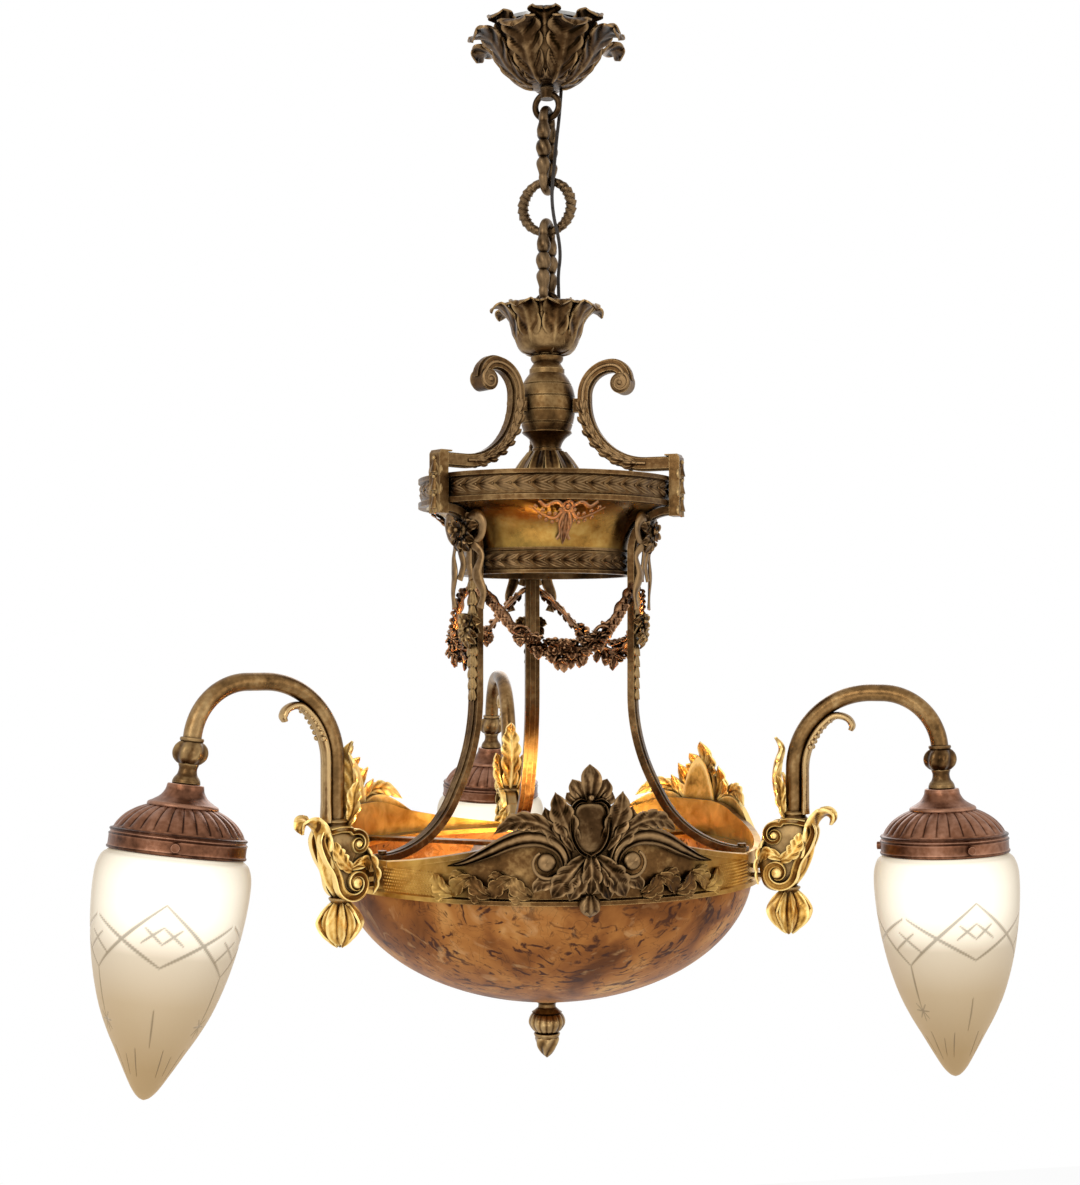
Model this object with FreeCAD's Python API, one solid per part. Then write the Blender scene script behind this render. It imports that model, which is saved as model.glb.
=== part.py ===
import FreeCAD, Part
import math
import os

# A hanging light: a leafy ceiling canopy, a short chain, an urn-shaped stem, a round corona, three
# long straps, and a frieze ring that holds an alabaster bowl and three arms with glass shades.
#
# Millimetres, +Z up. The origin lies on the ceiling, on the light's vertical axis. An azimuth is
# counted from -Y, the front, towards +X. Pieces that stand round the axis are drawn at +X, with
# X as the radius, Y as the tangent and Z as the height, and are then turned to their azimuth.

V = FreeCAD.Vector
ORIGIN = V(0, 0, 0)
TANGENT = V(0, 1, 0)
RADIAL = V(1, 0, 0)
UP = V(0, 0, 1)

# ---- General ---------------------------------------------------------------------------------
THREAD_GAP = 0.1          # round a rod or screw in its hole
SEAT_GAP = 0.3            # between curved or cast faces that rest on each other
SCREW_R = 2.0
SCREW_HEAD_R = 3.6
SCREW_HEAD_H = 2.0
ROD_R = 4.0               # M8 rods hold the stem, the ceiling fixing and the bowl
NUT_FLATS = 13.0
NUT_H = 6.5

CARTOUCHE_AZIMUTHS = {"front": 0.0, "back_right": 120.0, "back_left": -120.0}
CHAIN_AZIMUTH = -30.0     # the links lie in this vertical plane, and the rings across it

# name: azimuth, crown of the arch above the ring top, reach and height of the lamp, lean outward
ARMS = {
    "left": (-60.0, 145.5, 349.0, 93.0, 8.6),
    "right": (60.0, 134.5, 340.0, 81.0, 2.7),
    "rear": (180.0, 140.0, 344.5, 87.0, 5.6),
}

# ---- Ceiling fixing and canopy ---------------------------------------------------------------
PLATE_R = 46.0
PLATE_T = 3.0
PLATE_SCREW_CIRCLE = 60.0
PLATE_SCREW_HOLE_R = 2.25
PLATE_SCREWS = 3
BLOCK_SIZE = (24.0, 14.0, 12.0)
BLOCK_RADIUS = 26.0
CANOPY_H = 51.5
CANOPY_R = 72.0
CANOPY_WALL = 1.6
CANOPY_DISH_R = 34.5
CANOPY_LEAVES = 8
CANOPY_NOTCH = 21.0
COLLAR_R = 6.8
COLLAR_H = 3.0

# ---- Chain -----------------------------------------------------------------------------------
CHAIN_GAP = 0.3           # between two pieces of chain where they hang on each other
LOOP_WIRE_R = 2.8
LOOP_R = 10.9             # radii of rings and bends are taken to the middle of the wire
LOOP_HUB_R = 6.0
LOOP_HUB_H = 7.5
LOOP_THREAD_DEPTH = 4.0
LINK_WIRE_R = 4.0
LINK_R = 9.0
LINK_PITCH = 70.6         # between the middles of the wire at its two ends
LINK_BEADS = 4
LINK_BEAD_R = 5.1
LINK_BEAD_PITCH = 10.5
RING_R = 22.4
RING_WIRE_R = 4.0
LEAD_R = 1.6
# The lead's points: along the rings, along the links towards the front, and height
LEAD_POINTS = (
    (7.0, -22.0, -15.0), (7.0, -22.0, -27.0), (8.4, -15.6, -41.0), (9.2, -10.2, -58.0),
    (8.8, -7.0, -78.0), (8.0, -2.4, -98.0),
    (8.6, 3.2, -116.0), (8.4, 8.0, -134.0), (7.4, 8.6, -152.0), (9.4, 8.2, -170.0),
    (13.2, 6.4, -186.0), (13.6, 2.6, -202.0), (9.8, -1.6, -216.0), (8.6, -6.2, -231.0),
    (8.6, -8.2, -248.0), (8.4, -8.2, -266.0), (8.4, -7.6, -286.0),
)
LEAD_CUTS = (5, 8, 11)    # the runs whose middles divide the lead into its four stretches
LEAD_NAMES = ("lead_at_loop", "lead_at_ring_top", "lead_at_ring_foot", "lead_at_eye")

# ---- Stem ------------------------------------------------------------------------------------
EYE_DROP = 37.8           # from the eye's middle to the floor of the leaf cup
CUP_FLOOR_T = 4.0
CUP_LEAVES = 9
CUP_NOTCH = 11.0
CUP_WALL = 2.4
NECK_H = 13.0
URN_H = 72.4
URN_R = 25.0
URN_GROOVES = (14.0, 25.0, 37.0, 48.0)
URN_GROOVE_R = 0.8
FOOT_H = 25.6
FOOT_R = 27.5
FOOT_LEAVES = 12

# ---- Corona ----------------------------------------------------------------------------------
CORONA_R = 113.0
BAND_R = 110.5
BAND_T = 7.5
BAND_H = 25.0
BAND_LEDGE = 5.0
PLATE_IN_CORONA_T = 3.0
DRUM_TOP_R = 106.0
DRUM_FOOT_R = 73.0
DRUM_H = 37.0
DRUM_HOLLOW = 8.0         # how far its side bows inward
DRUM_WALL = 2.0
LOWER_BAND_R = 74.7
LOWER_BAND_H = 21.7
SWAG_T = 2.6

# ---- Scrolls and corner blocks ---------------------------------------------------------------
SCROLL_T = 12.0           # along the radius
SCROLL_W = 13.0
SCROLL_DROP = 11.5        # from the corona's top up to the middle of the scroll's foot
SCROLL_IN_R = 35.2
SCROLL_RISE = 98.0
SCROLL_EYE_R = 9.0
BLOCK_W = 14.5
BLOCK_T = 9.2
BLOCK_RISE = 19.0
BLOCK_H = 53.0
HUSK_PROUD = 3.3

# ---- Straps, bows, drops and garlands --------------------------------------------------------
STRAP_T = 8.0
STRAP_W = 13.0
STRAP_R = 79.0
STRAP_SHOULDER_R = 35.0
STRAP_FOOT_LENGTH = 2.0
CAGE_H = 318.0            # from the corona's top to the ring's top
BOW_DROP = 48.0           # from the corona's top to the knot of the bow
BOW_T = 4.0
DROP_TOP = 83.0
DROP_HUSKS = 8
DROP_HUSK_PITCH = 12.6
GARLAND_R = 80.0
# azimuth from the middle, height under the corona's top, radius of the garland there
GARLAND_POINTS = (
    (0.0, 149.5, 10.5), (9.0, 147.5, 10.0), (18.0, 141.0, 8.5), (26.0, 133.0, 6.0),
    (33.0, 123.0, 4.2), (44.0, 107.0, 3.4), (55.6, 93.0, 3.0),
)

# ---- Bowl ring and cartouches ----------------------------------------------------------------
FRIEZE_R = 184.0
FRIEZE_T = 3.0
FRIEZE_H = 28.0
MOULDING_PROUD = 3.0
MOULDING_H = 5.0
SHELF_T = 4.0
SHELF_W = 16.0
SHELF_DROP = 4.0
CREST_HALF_W = 150.0
CREST_IN = 26.0
CREST_RISE = 28.0
CARTOUCHE_T = 3.6
SHIELD_PROUD = 3.4
VOLUTE_AT = (33.0, 6.5)   # sideways, and above the ring top
VOLUTE_R = 8.5

# ---- Bowl, spider and finial -----------------------------------------------------------------
BOWL_R = 180.0
BOWL_DEPTH = 116.0
BOWL_WALL = 7.0
BOWL_MIDDLE_DROP = 19.0
BOWL_RIM_GAP = 1.0        # felt strip between the bowl's rim and the shelf
BOWL_HOLE_R = 6.0
SPIDER_T = 3.5
SPIDER_W = 13.0
SPIDER_HUB_R = 16.0
SPIDER_HUB_H = 12.0
BOWL_LAMP_R = 60.0
FINIAL_H = 53.0

# ---- Arms and lamps --------------------------------------------------------------------------
ARM_R = 220.0
ARM_TUBE_R = 7.0
ARM_TUBE_WALL = 1.5
ARM_BEND_IN = 64.5
ARM_BEND_OUT = 47.0
ARM_SOCKET = 24.0
ARM_ROOT_DROP = -32.0     # top of the bracket, counted down from the ring's top
LEAF_T = 3.0
LEAF_W = 13.0
LEAF_HUG = 50.0           # degrees of the arch that the leaf follows
LEAF_CURL_R = 9.0
KNOP_R = 13.3
KNOP_H = 16.5
LAMP_NECK_R = 7.3
LAMP_NECK_H = 15.5
NIPPLE_R = 5.0
GALLERY_R = 51.0
GALLERY_H = 52.0
GALLERY_WALL = 1.4
GALLERY_RIM_H = 12.5
GALLERY_SCREWS = 3
GALLERY_LOBES = 28
SHADE_NECK_R = 48.8
SHADE_WALL = 3.0
HOLDER_R = 19.5
HOLDER_H = 44.0
BULB_CAP_R = 13.3
BULB_R = 28.0

# ---- Heights that follow from the sizes above ------------------------------------------------
LOOP_TOP = -(CANOPY_H + COLLAR_H)
LOOP_Z = LOOP_TOP - LOOP_WIRE_R - LOOP_R
LINK_1_TOP = LOOP_Z - LOOP_R + LOOP_WIRE_R + CHAIN_GAP + LINK_WIRE_R
RING_Z = LINK_1_TOP - LINK_PITCH + LINK_WIRE_R + CHAIN_GAP + RING_WIRE_R - RING_R
LINK_2_TOP = RING_Z - RING_R + RING_WIRE_R + CHAIN_GAP + LINK_WIRE_R
EYE_Z = LINK_2_TOP - LINK_PITCH + LINK_WIRE_R + CHAIN_GAP + LOOP_WIRE_R - LOOP_R
CUP_FLOOR = EYE_Z - EYE_DROP
NECK_TOP = CUP_FLOOR - CUP_FLOOR_T
URN_TOP = NECK_TOP - NECK_H
FOOT_TOP = URN_TOP - URN_H
CORONA_TOP = FOOT_TOP - FOOT_H
DRUM_TOP = CORONA_TOP - BAND_H
LOWER_BAND_TOP = DRUM_TOP - DRUM_H
FRIEZE_TOP = CORONA_TOP - CAGE_H
FRIEZE_BOTTOM = FRIEZE_TOP - FRIEZE_H
SHELF_TOP = FRIEZE_TOP - SHELF_DROP
BOWL_MIDDLE = FRIEZE_TOP - BOWL_MIDDLE_DROP
BOWL_RIM = SHELF_TOP - SHELF_T - BOWL_RIM_GAP
BOWL_BOTTOM = BOWL_MIDDLE - BOWL_DEPTH
STRAP_FOOT_Z = SHELF_TOP + STRAP_T / 2
MOULDING_R = FRIEZE_R + MOULDING_PROUD
SHELF_OUT_R = FRIEZE_R - FRIEZE_T


# ---- Drawing helpers -------------------------------------------------------------------------
def on_side(x, z):
    """A point of the plane that holds the radius and the height."""
    return V(x, 0, z)


def on_face(y, z):
    """A point of the plane that holds the tangent and the height."""
    return V(0, y, z)


def edges_through(points, to_space):
    """A closed run of edges. A third number bows the edge that leaves its point to the left."""
    edges = []
    for here, there in zip(points, points[1:] + points[:1]):
        start = to_space(here[0], here[1])
        end = to_space(there[0], there[1])
        if len(here) == 2 or not here[2]:
            edges.append(Part.LineSegment(start, end).toShape())
            continue
        run = (there[0] - here[0], there[1] - here[1])
        bow = here[2] / math.hypot(*run)
        middle = to_space(
            (here[0] + there[0]) / 2 - run[1] * bow, (here[1] + there[1]) / 2 + run[0] * bow)
        edges.append(Part.Arc(start, middle, end).toShape())
    return edges


def face_through(points, to_space=on_side):
    return Part.Face(Part.Wire(edges_through(list(points), to_space)))


def outward(shape):
    """The same solid, turned right side out."""
    if shape.Volume < 0:
        shape.reverse()
    return shape


def fused(shapes):
    """One solid made of all the shapes, without the seams between them."""
    shapes = list(shapes)
    if len(shapes) == 1:
        return shapes[0]
    return shapes[0].multiFuse(shapes[1:]).removeSplitter()


def group(shapes):
    return Part.makeCompound(list(shapes))


def turned(points):
    """A solid of revolution about the vertical axis, from its half outline."""
    return outward(face_through(points).revolve(ORIGIN, UP, 360))


def wall_points(points, wall):
    """Closes an outer line into a thin wall that lies to its left."""
    inner = []
    for index, point in enumerate(points):
        before = points[max(index - 1, 0)]
        after = points[min(index + 1, len(points) - 1)]
        run = (after[0] - before[0], after[1] - before[1])
        size = wall / math.hypot(*run)
        place = [max(point[0] - run[1] * size, 0.0), point[1] + run[0] * size]
        inner.append(place)
    bows = [point[2] if len(point) > 2 else 0.0 for point in points]
    back = [(*inner[index], -bows[index - 1] if index else 0.0)
            for index in range(len(points) - 1, -1, -1)]
    return [(*point[:2], bow) for point, bow in zip(points, bows)] + back


def thin_turned(points, wall):
    """A turned shell. The points follow its outer face, with the wall on their left."""
    return turned(wall_points(points, wall))


def annulus(inner_r, outer_r, low, high):
    tube = Part.makeCylinder(outer_r, high - low, V(0, 0, low))
    return tube.cut(Part.makeCylinder(inner_r, high - low, V(0, 0, low)))


def rod(radius, start, end):
    return Part.makeCylinder(radius, (end - start).Length, start, end - start)


def upright(radius, low, high):
    return rod(radius, V(0, 0, low), V(0, 0, high))


def box(low, high):
    size = V(*high) - V(*low)
    return Part.makeBox(size.x, size.y, size.z, V(*low))


def slab(points, half_width):
    """A side outline, as thick as twice the half width along the tangent."""
    face = face_through(points).translated(V(0, -half_width, 0))
    return outward(face.extrude(V(0, 2 * half_width, 0)))


def curved_plate(points, inner_r, outer_r):
    """A face outline cut out of a round wall that stands between two radii."""
    heights = [point[1] for point in points]
    reach = 5.0
    face = face_through(points, on_face).translated(V(inner_r * 0.4, 0, 0))
    prism = outward(face.extrude(V(outer_r, 0, 0)))
    return prism.common(annulus(inner_r, outer_r, min(heights) - reach, max(heights) + reach))


def mirrored(half):
    """A half outline from the middle line down, and its mirror image back up."""
    back = []
    for index in range(len(half) - 1, 0, -1):
        bow = half[index - 1][2] if len(half[index - 1]) > 2 else 0.0
        back.append((-half[index][0], half[index][1], bow))
    return list(half[:-1]) + back if half[-1][0] == 0 else list(half) + back


def hexagon_nut(low, height=NUT_H, bore=ROD_R + THREAD_GAP):
    corner = NUT_FLATS / math.sqrt(3)
    corners = [V(corner * math.cos(math.radians(60 * k)), corner * math.sin(math.radians(60 * k)), low)
               for k in range(6)]
    nut = Part.Face(Part.makePolygon(corners + corners[:1])).extrude(V(0, 0, height))
    return nut.cut(upright(bore, low, low + height)) if bore else nut


def disc(centre, normal, radius):
    return Part.Face(Part.Wire(Part.Circle(centre, normal, radius).toShape()))


def round_section(start, towards, radius, bore=0.0):
    """The cross section of a bar or tube, square to the direction it sets out in."""
    outer = disc(start, towards - start, radius)
    return outer.cut(disc(start, towards - start, bore)) if bore else outer


def carried(section, corners):
    """Carries a section along straight runs joined by tangent arcs.

    Each corner is a point and the radius of the arc that rounds it; the ends have no radius.
    """
    points = [corner[0] for corner in corners]
    here = points[0]
    pieces = []
    for index in range(1, len(points)):
        along = (points[index] - points[index - 1]).normalize()
        if index < len(points) - 1:
            onward = (points[index + 1] - points[index]).normalize()
            turn = along.getAngle(onward)
            cut = corners[index][1] * math.tan(turn / 2)
        else:
            turn = cut = 0.0
        step = points[index] - along * cut - here
        if step.Length > 0.001:
            pieces.append(outward(section.extrude(step)))
            section = section.translated(step)
        if turn:
            axis = along.cross(onward).normalize()
            start = points[index] - along * cut
            centre = start + axis.cross(along) * corners[index][1]
            pieces.append(outward(section.revolve(centre, axis, math.degrees(turn))))
            section = section.rotated(centre, axis, math.degrees(turn))
            here = points[index] + onward * cut
    return fused(pieces)


def at_azimuth(shape, azimuth):
    return shape.rotated(ORIGIN, UP, azimuth - 90.0)


def at_all(shape, azimuths):
    return group(at_azimuth(shape, azimuth) for azimuth in azimuths)


def arm_azimuths():
    return [arm[0] for arm in ARMS.values()]


def leaf_notches(count, root_r, tip_r, low, high):
    """The gaps between the leaves of a crown, with a round root to each."""
    notches = []
    half = tip_r * 1.1 * math.tan(math.pi / count)
    for number in range(count):
        corners = [V(root_r, 0, low), V(tip_r * 1.1, half, low), V(tip_r * 1.1, -half, low)]
        wedge = Part.Face(Part.makePolygon(corners + corners[:1])).extrude(V(0, 0, high - low))
        root = Part.makeCylinder(0.04 * tip_r, high - low, V(root_r, 0, low))
        angle = 360.0 * (number + 0.5) / count
        notches.append(wedge.fuse(root).rotated(ORIGIN, UP, angle))
    return notches


# ---- Ceiling fixing --------------------------------------------------------------------------
def ceiling_plate():
    plate = upright(PLATE_R, -PLATE_T, 0).cut(upright(ROD_R + THREAD_GAP, -PLATE_T, 0))
    for number in range(PLATE_SCREWS):
        angle = 2 * math.pi * number / PLATE_SCREWS
        centre = V(math.cos(angle), math.sin(angle), 0) * (PLATE_SCREW_CIRCLE / 2)
        plate = plate.cut(Part.makeCylinder(PLATE_SCREW_HOLE_R, PLATE_T, centre - UP * PLATE_T))
    return plate


def hanging_rod():
    return upright(ROD_R, LOOP_TOP - LOOP_THREAD_DEPTH, 0)


def rod_nuts():
    above_dish = -CANOPY_H + CANOPY_WALL
    return group([hexagon_nut(-PLATE_T - NUT_H), hexagon_nut(above_dish)])


def terminal_block():
    length, width, height = BLOCK_SIZE
    top = -PLATE_T
    body = box((BLOCK_RADIUS - width / 2, -length / 2, top - height),
               (BLOCK_RADIUS + width / 2, length / 2, top))
    for side in (-1, 1):
        screw_hole = V(BLOCK_RADIUS, side * length / 4, top - height)
        body = body.cut(Part.makeCylinder(SCREW_R, height / 2, screw_hole))
    return at_azimuth(body, CHAIN_AZIMUTH + 180)


def ceiling_canopy():
    bottom = -CANOPY_H
    outer = [(ROD_R + THREAD_GAP, bottom), (CANOPY_DISH_R * 0.32, bottom, -1.6),
             (CANOPY_DISH_R, bottom + 10.5, -2.2), (CANOPY_R * 0.7, bottom + 26, -0.8),
             (CANOPY_R * 0.86, bottom + 38, 1.2), (CANOPY_R, bottom + 47)]
    shell = thin_turned(outer, CANOPY_WALL)
    notches = leaf_notches(CANOPY_LEAVES, CANOPY_R - CANOPY_NOTCH, CANOPY_R, bottom, 0)
    return shell.cut(notches + [lead_hole(2)])


def canopy_collar():
    body = turned([(ROD_R + THREAD_GAP, -CANOPY_H), (ROD_R + THREAD_GAP, LOOP_TOP),
                   (COLLAR_R - 1, LOOP_TOP), (COLLAR_R, LOOP_TOP + COLLAR_H / 2, 0.4),
                   (COLLAR_R - 1, -CANOPY_H)])
    return body


# ---- Chain -----------------------------------------------------------------------------------
def ring_of_wire(middle_z, ring_r, wire_r):
    return Part.makeTorus(ring_r, wire_r, V(0, 0, middle_z), TANGENT)


def canopy_loop():
    ring = ring_of_wire(LOOP_Z, LOOP_R, LOOP_WIRE_R)
    hub = upright(LOOP_HUB_R, LOOP_TOP - LOOP_HUB_H, LOOP_TOP)
    bore = upright(ROD_R + THREAD_GAP, LOOP_TOP - LOOP_THREAD_DEPTH, LOOP_TOP)
    return at_azimuth(fused([ring, hub]).cut(bore), CHAIN_AZIMUTH + 90)


def chain_link(top):
    """A long link of round wire whose legs swell into beads."""
    bend_top = top - LINK_R
    bend_foot = top - LINK_PITCH + LINK_R
    pieces = []
    for side in (-1, 1):
        pieces.append(rod(LINK_WIRE_R, V(side * LINK_R, 0, bend_top), V(side * LINK_R, 0, bend_foot)))
        for number in range(LINK_BEADS):
            offset = (number - (LINK_BEADS - 1) / 2) * LINK_BEAD_PITCH
            place = V(side * LINK_R, 0, top - LINK_PITCH / 2 + offset)
            pieces.append(Part.makeSphere(LINK_BEAD_R, place))
    for bend_z, turn in ((bend_top, -180), (bend_foot, 180)):
        section = disc(V(-LINK_R, 0, bend_z), UP, LINK_WIRE_R)
        pieces.append(outward(section.revolve(V(0, 0, bend_z), TANGENT, -turn)))
    return at_azimuth(fused(pieces), CHAIN_AZIMUTH)


def chain_ring():
    return at_azimuth(ring_of_wire(RING_Z, RING_R, RING_WIRE_R), CHAIN_AZIMUTH + 90)


def lead_corners():
    """The lead's points in space, each with the radius of the arc that rounds it."""
    along_rings = V(1, 0, 0)
    along_links = V(0, -1, 0)
    spin = FreeCAD.Rotation(UP, CHAIN_AZIMUTH)
    points = [spin.multVec(along_rings * a + along_links * b + UP * z) for a, b, z in LEAD_POINTS]
    corners = [(points[0], 0.0)]
    for before, here, after in zip(points, points[1:], points[2:]):
        shorter = min((here - before).Length, (after - here).Length)
        turn = (here - before).getAngle(after - here)
        corners.append((here, 0.45 * shorter / math.tan(turn / 2)))
    return corners + [(points[-1], 0.0)]


def leads():
    """The lead's four stretches, each of which bends with one joint of the chain."""
    corners = lead_corners()
    cuts = [(corners[index][0] + corners[index + 1][0]) * 0.5 for index in LEAD_CUTS]
    bounds = [0] + [index + 1 for index in LEAD_CUTS] + [len(corners)]
    stretches = []
    for number, name in enumerate(LEAD_NAMES):
        inside = corners[bounds[number]:bounds[number + 1]]
        if number:
            inside = [(cuts[number - 1], 0.0)] + inside
        if number < len(cuts):
            inside = inside + [(cuts[number], 0.0)]
        section = round_section(inside[0][0], inside[1][0], LEAD_R)
        tube = carried(section, inside)
        length = tube.Volume / (math.pi * LEAD_R ** 2)
        radii = ", ".join(f"{radius:.0f}" for _, radius in inside if radius)
        print(f"{name}: length {length:.1f} mm, arc radii {radii} mm")
        stretches.append(tube)
    return dict(zip(LEAD_NAMES, stretches))


# ---- Stem ------------------------------------------------------------------------------------
def stem_eye():
    ring = ring_of_wire(EYE_Z, LOOP_R, LOOP_WIRE_R)
    hub = upright(LOOP_HUB_R, CUP_FLOOR, EYE_Z - LOOP_R)
    bore = upright(ROD_R + THREAD_GAP, CUP_FLOOR, CUP_FLOOR + 12)
    return at_azimuth(fused([ring, hub]).cut(bore), CHAIN_AZIMUTH + 90)


def lead_hole(first):
    """A hole for the lead, round the run that starts at this point of its route."""
    start, end = lead_corners()[first][0], lead_corners()[first + 1][0]
    onward = (end - start).normalize()
    return rod(LEAD_R + SEAT_GAP, start, end + onward * 2)


def top_leaf_cup():
    floor = NECK_TOP
    outer = [(13.0, floor), (22.0, floor + 2, -1.2), (30.0, floor + 15, -0.6), (35.5, floor + 31, -0.8),
             (40.5, floor + 40.5, -1.6), (47.0, floor + 41, -1.2), (49.7, floor + 33)]
    shell = thin_turned(outer, CUP_WALL)
    notches = leaf_notches(CUP_LEAVES, 49.7 - CUP_NOTCH, 49.7, floor + 20, floor + 50)
    base = upright(20.0, floor, CUP_FLOOR).cut(upright(ROD_R + THREAD_GAP, floor, CUP_FLOOR))
    return fused([shell.cut(notches), base]).cut(lead_hole(len(LEAD_POINTS) - 2))


def stem_neck():
    top = NECK_TOP
    bore = ROD_R + THREAD_GAP
    return turned([(bore, top), (bore, top - NECK_H), (15.0, top - NECK_H), (14.0, top - NECK_H + 2),
                   (11.7, top - 7.5, -1.0), (14.3, top - 2, 0.5), (13.0, top)])


def stem_urn():
    top = URN_TOP
    bore = ROD_R + THREAD_GAP
    body = turned([(bore, top), (bore, FOOT_TOP), (13.2, FOOT_TOP), (13.2, FOOT_TOP + 2.5),
                   (12.2, FOOT_TOP + 3.5, 1.6), (20.5, FOOT_TOP + 15), (22.0, FOOT_TOP + 16.5, -0.5),
                   (20.7, FOOT_TOP + 18, -1.0), (URN_R, top - 33, -3.2), (15.5, top - 4),
                   (15.5, top)])
    grooves = []
    for depth in URN_GROOVES:
        level = top - depth
        section = body.section(Part.makePlane(200, 200, V(-100, -100, level), UP))
        radius = section.BoundBox.XMax
        grooves.append(Part.makeTorus(radius, URN_GROOVE_R, V(0, 0, level), UP))
    return body.cut(grooves)


def stem_foot():
    """A spreading foot whose side is cut into upright leaves."""
    bore = ROD_R + THREAD_GAP
    body = turned([(bore, FOOT_TOP), (bore, CORONA_TOP), (FOOT_R, CORONA_TOP),
                   (FOOT_R, CORONA_TOP + 8, -0.6), (22.0, CORONA_TOP + 16, 1.5), (14.0, FOOT_TOP)])
    flutes = []
    for number in range(FOOT_LEAVES):
        flute = rod(1.6, V(FOOT_R + 0.8, 0, CORONA_TOP - 1), V(18.0, 0, FOOT_TOP))
        flutes.append(flute.rotated(ORIGIN, UP, 360.0 * number / FOOT_LEAVES))
    return body.cut(flutes)


def stem_washer_z():
    return CORONA_TOP - PLATE_IN_CORONA_T


def stem_washer():
    top = stem_washer_z()
    return annulus(ROD_R + THREAD_GAP, 16.0, top - 2, top)


def stem_rod():
    seat = stem_washer_z() - 2
    shaft = upright(ROD_R, seat, CUP_FLOOR + 11)
    return fused([shaft, hexagon_nut(seat - NUT_H, bore=0)])


# ---- Corona ----------------------------------------------------------------------------------
def corona_top_plate():
    radius = BAND_R - BAND_T - SEAT_GAP
    return annulus(ROD_R + THREAD_GAP, radius, CORONA_TOP - PLATE_IN_CORONA_T, CORONA_TOP)


def corona_upper_band():
    top = CORONA_TOP
    inner = BAND_R - BAND_T
    ledge = top - PLATE_IN_CORONA_T
    return turned([(inner, top), (inner, ledge), (inner - BAND_LEDGE, ledge),
                   (inner - BAND_LEDGE, ledge - 3), (inner, ledge - 3), (inner, DRUM_TOP),
                   (CORONA_R, DRUM_TOP), (CORONA_R, DRUM_TOP + 4.5, 0.8), (BAND_R, DRUM_TOP + 6.5),
                   (BAND_R, top - 5), (CORONA_R, top - 3.5), (CORONA_R, top)])


def drum_side():
    return [(DRUM_FOOT_R, LOWER_BAND_TOP, DRUM_HOLLOW), (DRUM_TOP_R, DRUM_TOP)]


def corona_drum():
    return thin_turned(drum_side(), DRUM_WALL).common(
        annulus(DRUM_FOOT_R - 20, CORONA_R, LOWER_BAND_TOP, DRUM_TOP))


def corona_lower_band():
    top = LOWER_BAND_TOP
    foot = top - LOWER_BAND_H
    return turned([(DRUM_FOOT_R - 4, top), (DRUM_FOOT_R - 4, foot), (LOWER_BAND_R, foot),
                   (LOWER_BAND_R, foot + 3, 0.5), (LOWER_BAND_R - 2, foot + 4.5),
                   (LOWER_BAND_R - 2, top - 3), (LOWER_BAND_R - 0.5, top - 2), (LOWER_BAND_R - 0.5, top)])


def drum_swags():
    """A bow with hanging ribbons and a drop, laid on the drum three times."""
    middle = DRUM_TOP - 10
    half = [(0, middle + 7, 1.5), (9, middle + 2, 1.5), (20, middle + 6.5, 2.0), (31, middle + 1, 2.0),
            (25, middle - 9, 2.0), (15, middle - 13.5, -2.0), (5, middle - 8, 0.0),
            (5.5, LOWER_BAND_TOP + 10, 1.5), (0, LOWER_BAND_TOP + 2)]
    flat = face_through(mirrored(half), on_face).translated(V(DRUM_FOOT_R * 0.5, 0, 0))
    prism = outward(flat.extrude(V(CORONA_R, 0, 0)))
    skin = thin_turned([(point[0] + SEAT_GAP / 2, *point[1:]) for point in drum_side()], -SWAG_T)
    return at_all(prism.common(skin), CARTOUCHE_AZIMUTHS.values())


# ---- Scrolls, corner blocks and straps -------------------------------------------------------
def moulded_section(start, thick, wide):
    """A bar's section with a raised rib down the middle of its two broad faces."""
    rib = wide * 0.2
    step = thick * 0.12
    half_t, half_w = thick / 2, wide / 2
    outline = [(-half_w, -half_t + step), (-rib, -half_t + step), (-rib, -half_t), (rib, -half_t),
               (rib, -half_t + step), (half_w, -half_t + step), (half_w, half_t - step),
               (rib, half_t - step), (rib, half_t), (-rib, half_t), (-rib, half_t - step),
               (-half_w, half_t - step)]
    return face_through(outline, on_face).translated(start)


def block_in_r():
    return CORONA_R + SEAT_GAP


def scroll(name):
    """An S-shaped bar from a corner block up the side of the urn to a small volute."""
    foot_z = CORONA_TOP + SCROLL_DROP
    crown_z = foot_z + SCROLL_RISE - SCROLL_DROP
    curl_r = 13.0
    crown_r = 25.0
    curl_x = SCROLL_IN_R + crown_r + curl_r
    corners = [(V(block_in_r(), 0, foot_z), 0), (V(SCROLL_IN_R, 0, foot_z), 57.0),
               (V(SCROLL_IN_R, 0, crown_z), crown_r), (V(curl_x, 0, crown_z), curl_r - 0.01),
               (V(curl_x, 0, crown_z - curl_r - 0.6), 0)]
    bar = carried(moulded_section(corners[0][0], SCROLL_T, SCROLL_W), corners)
    eye = rod(SCROLL_EYE_R, V(curl_x - 3.6, -SCROLL_W / 2 - 1, crown_z - curl_r - 3),
              V(curl_x - 3.6, SCROLL_W / 2 + 1, crown_z - curl_r - 3))
    lug_z = URN_TOP - 33
    lug = box((URN_R + SEAT_GAP, -3.5, lug_z - 6), (SCROLL_IN_R, 3.5, lug_z + 6))
    return at_azimuth(fused([bar, eye, lug]), ARMS[name][0])


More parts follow.
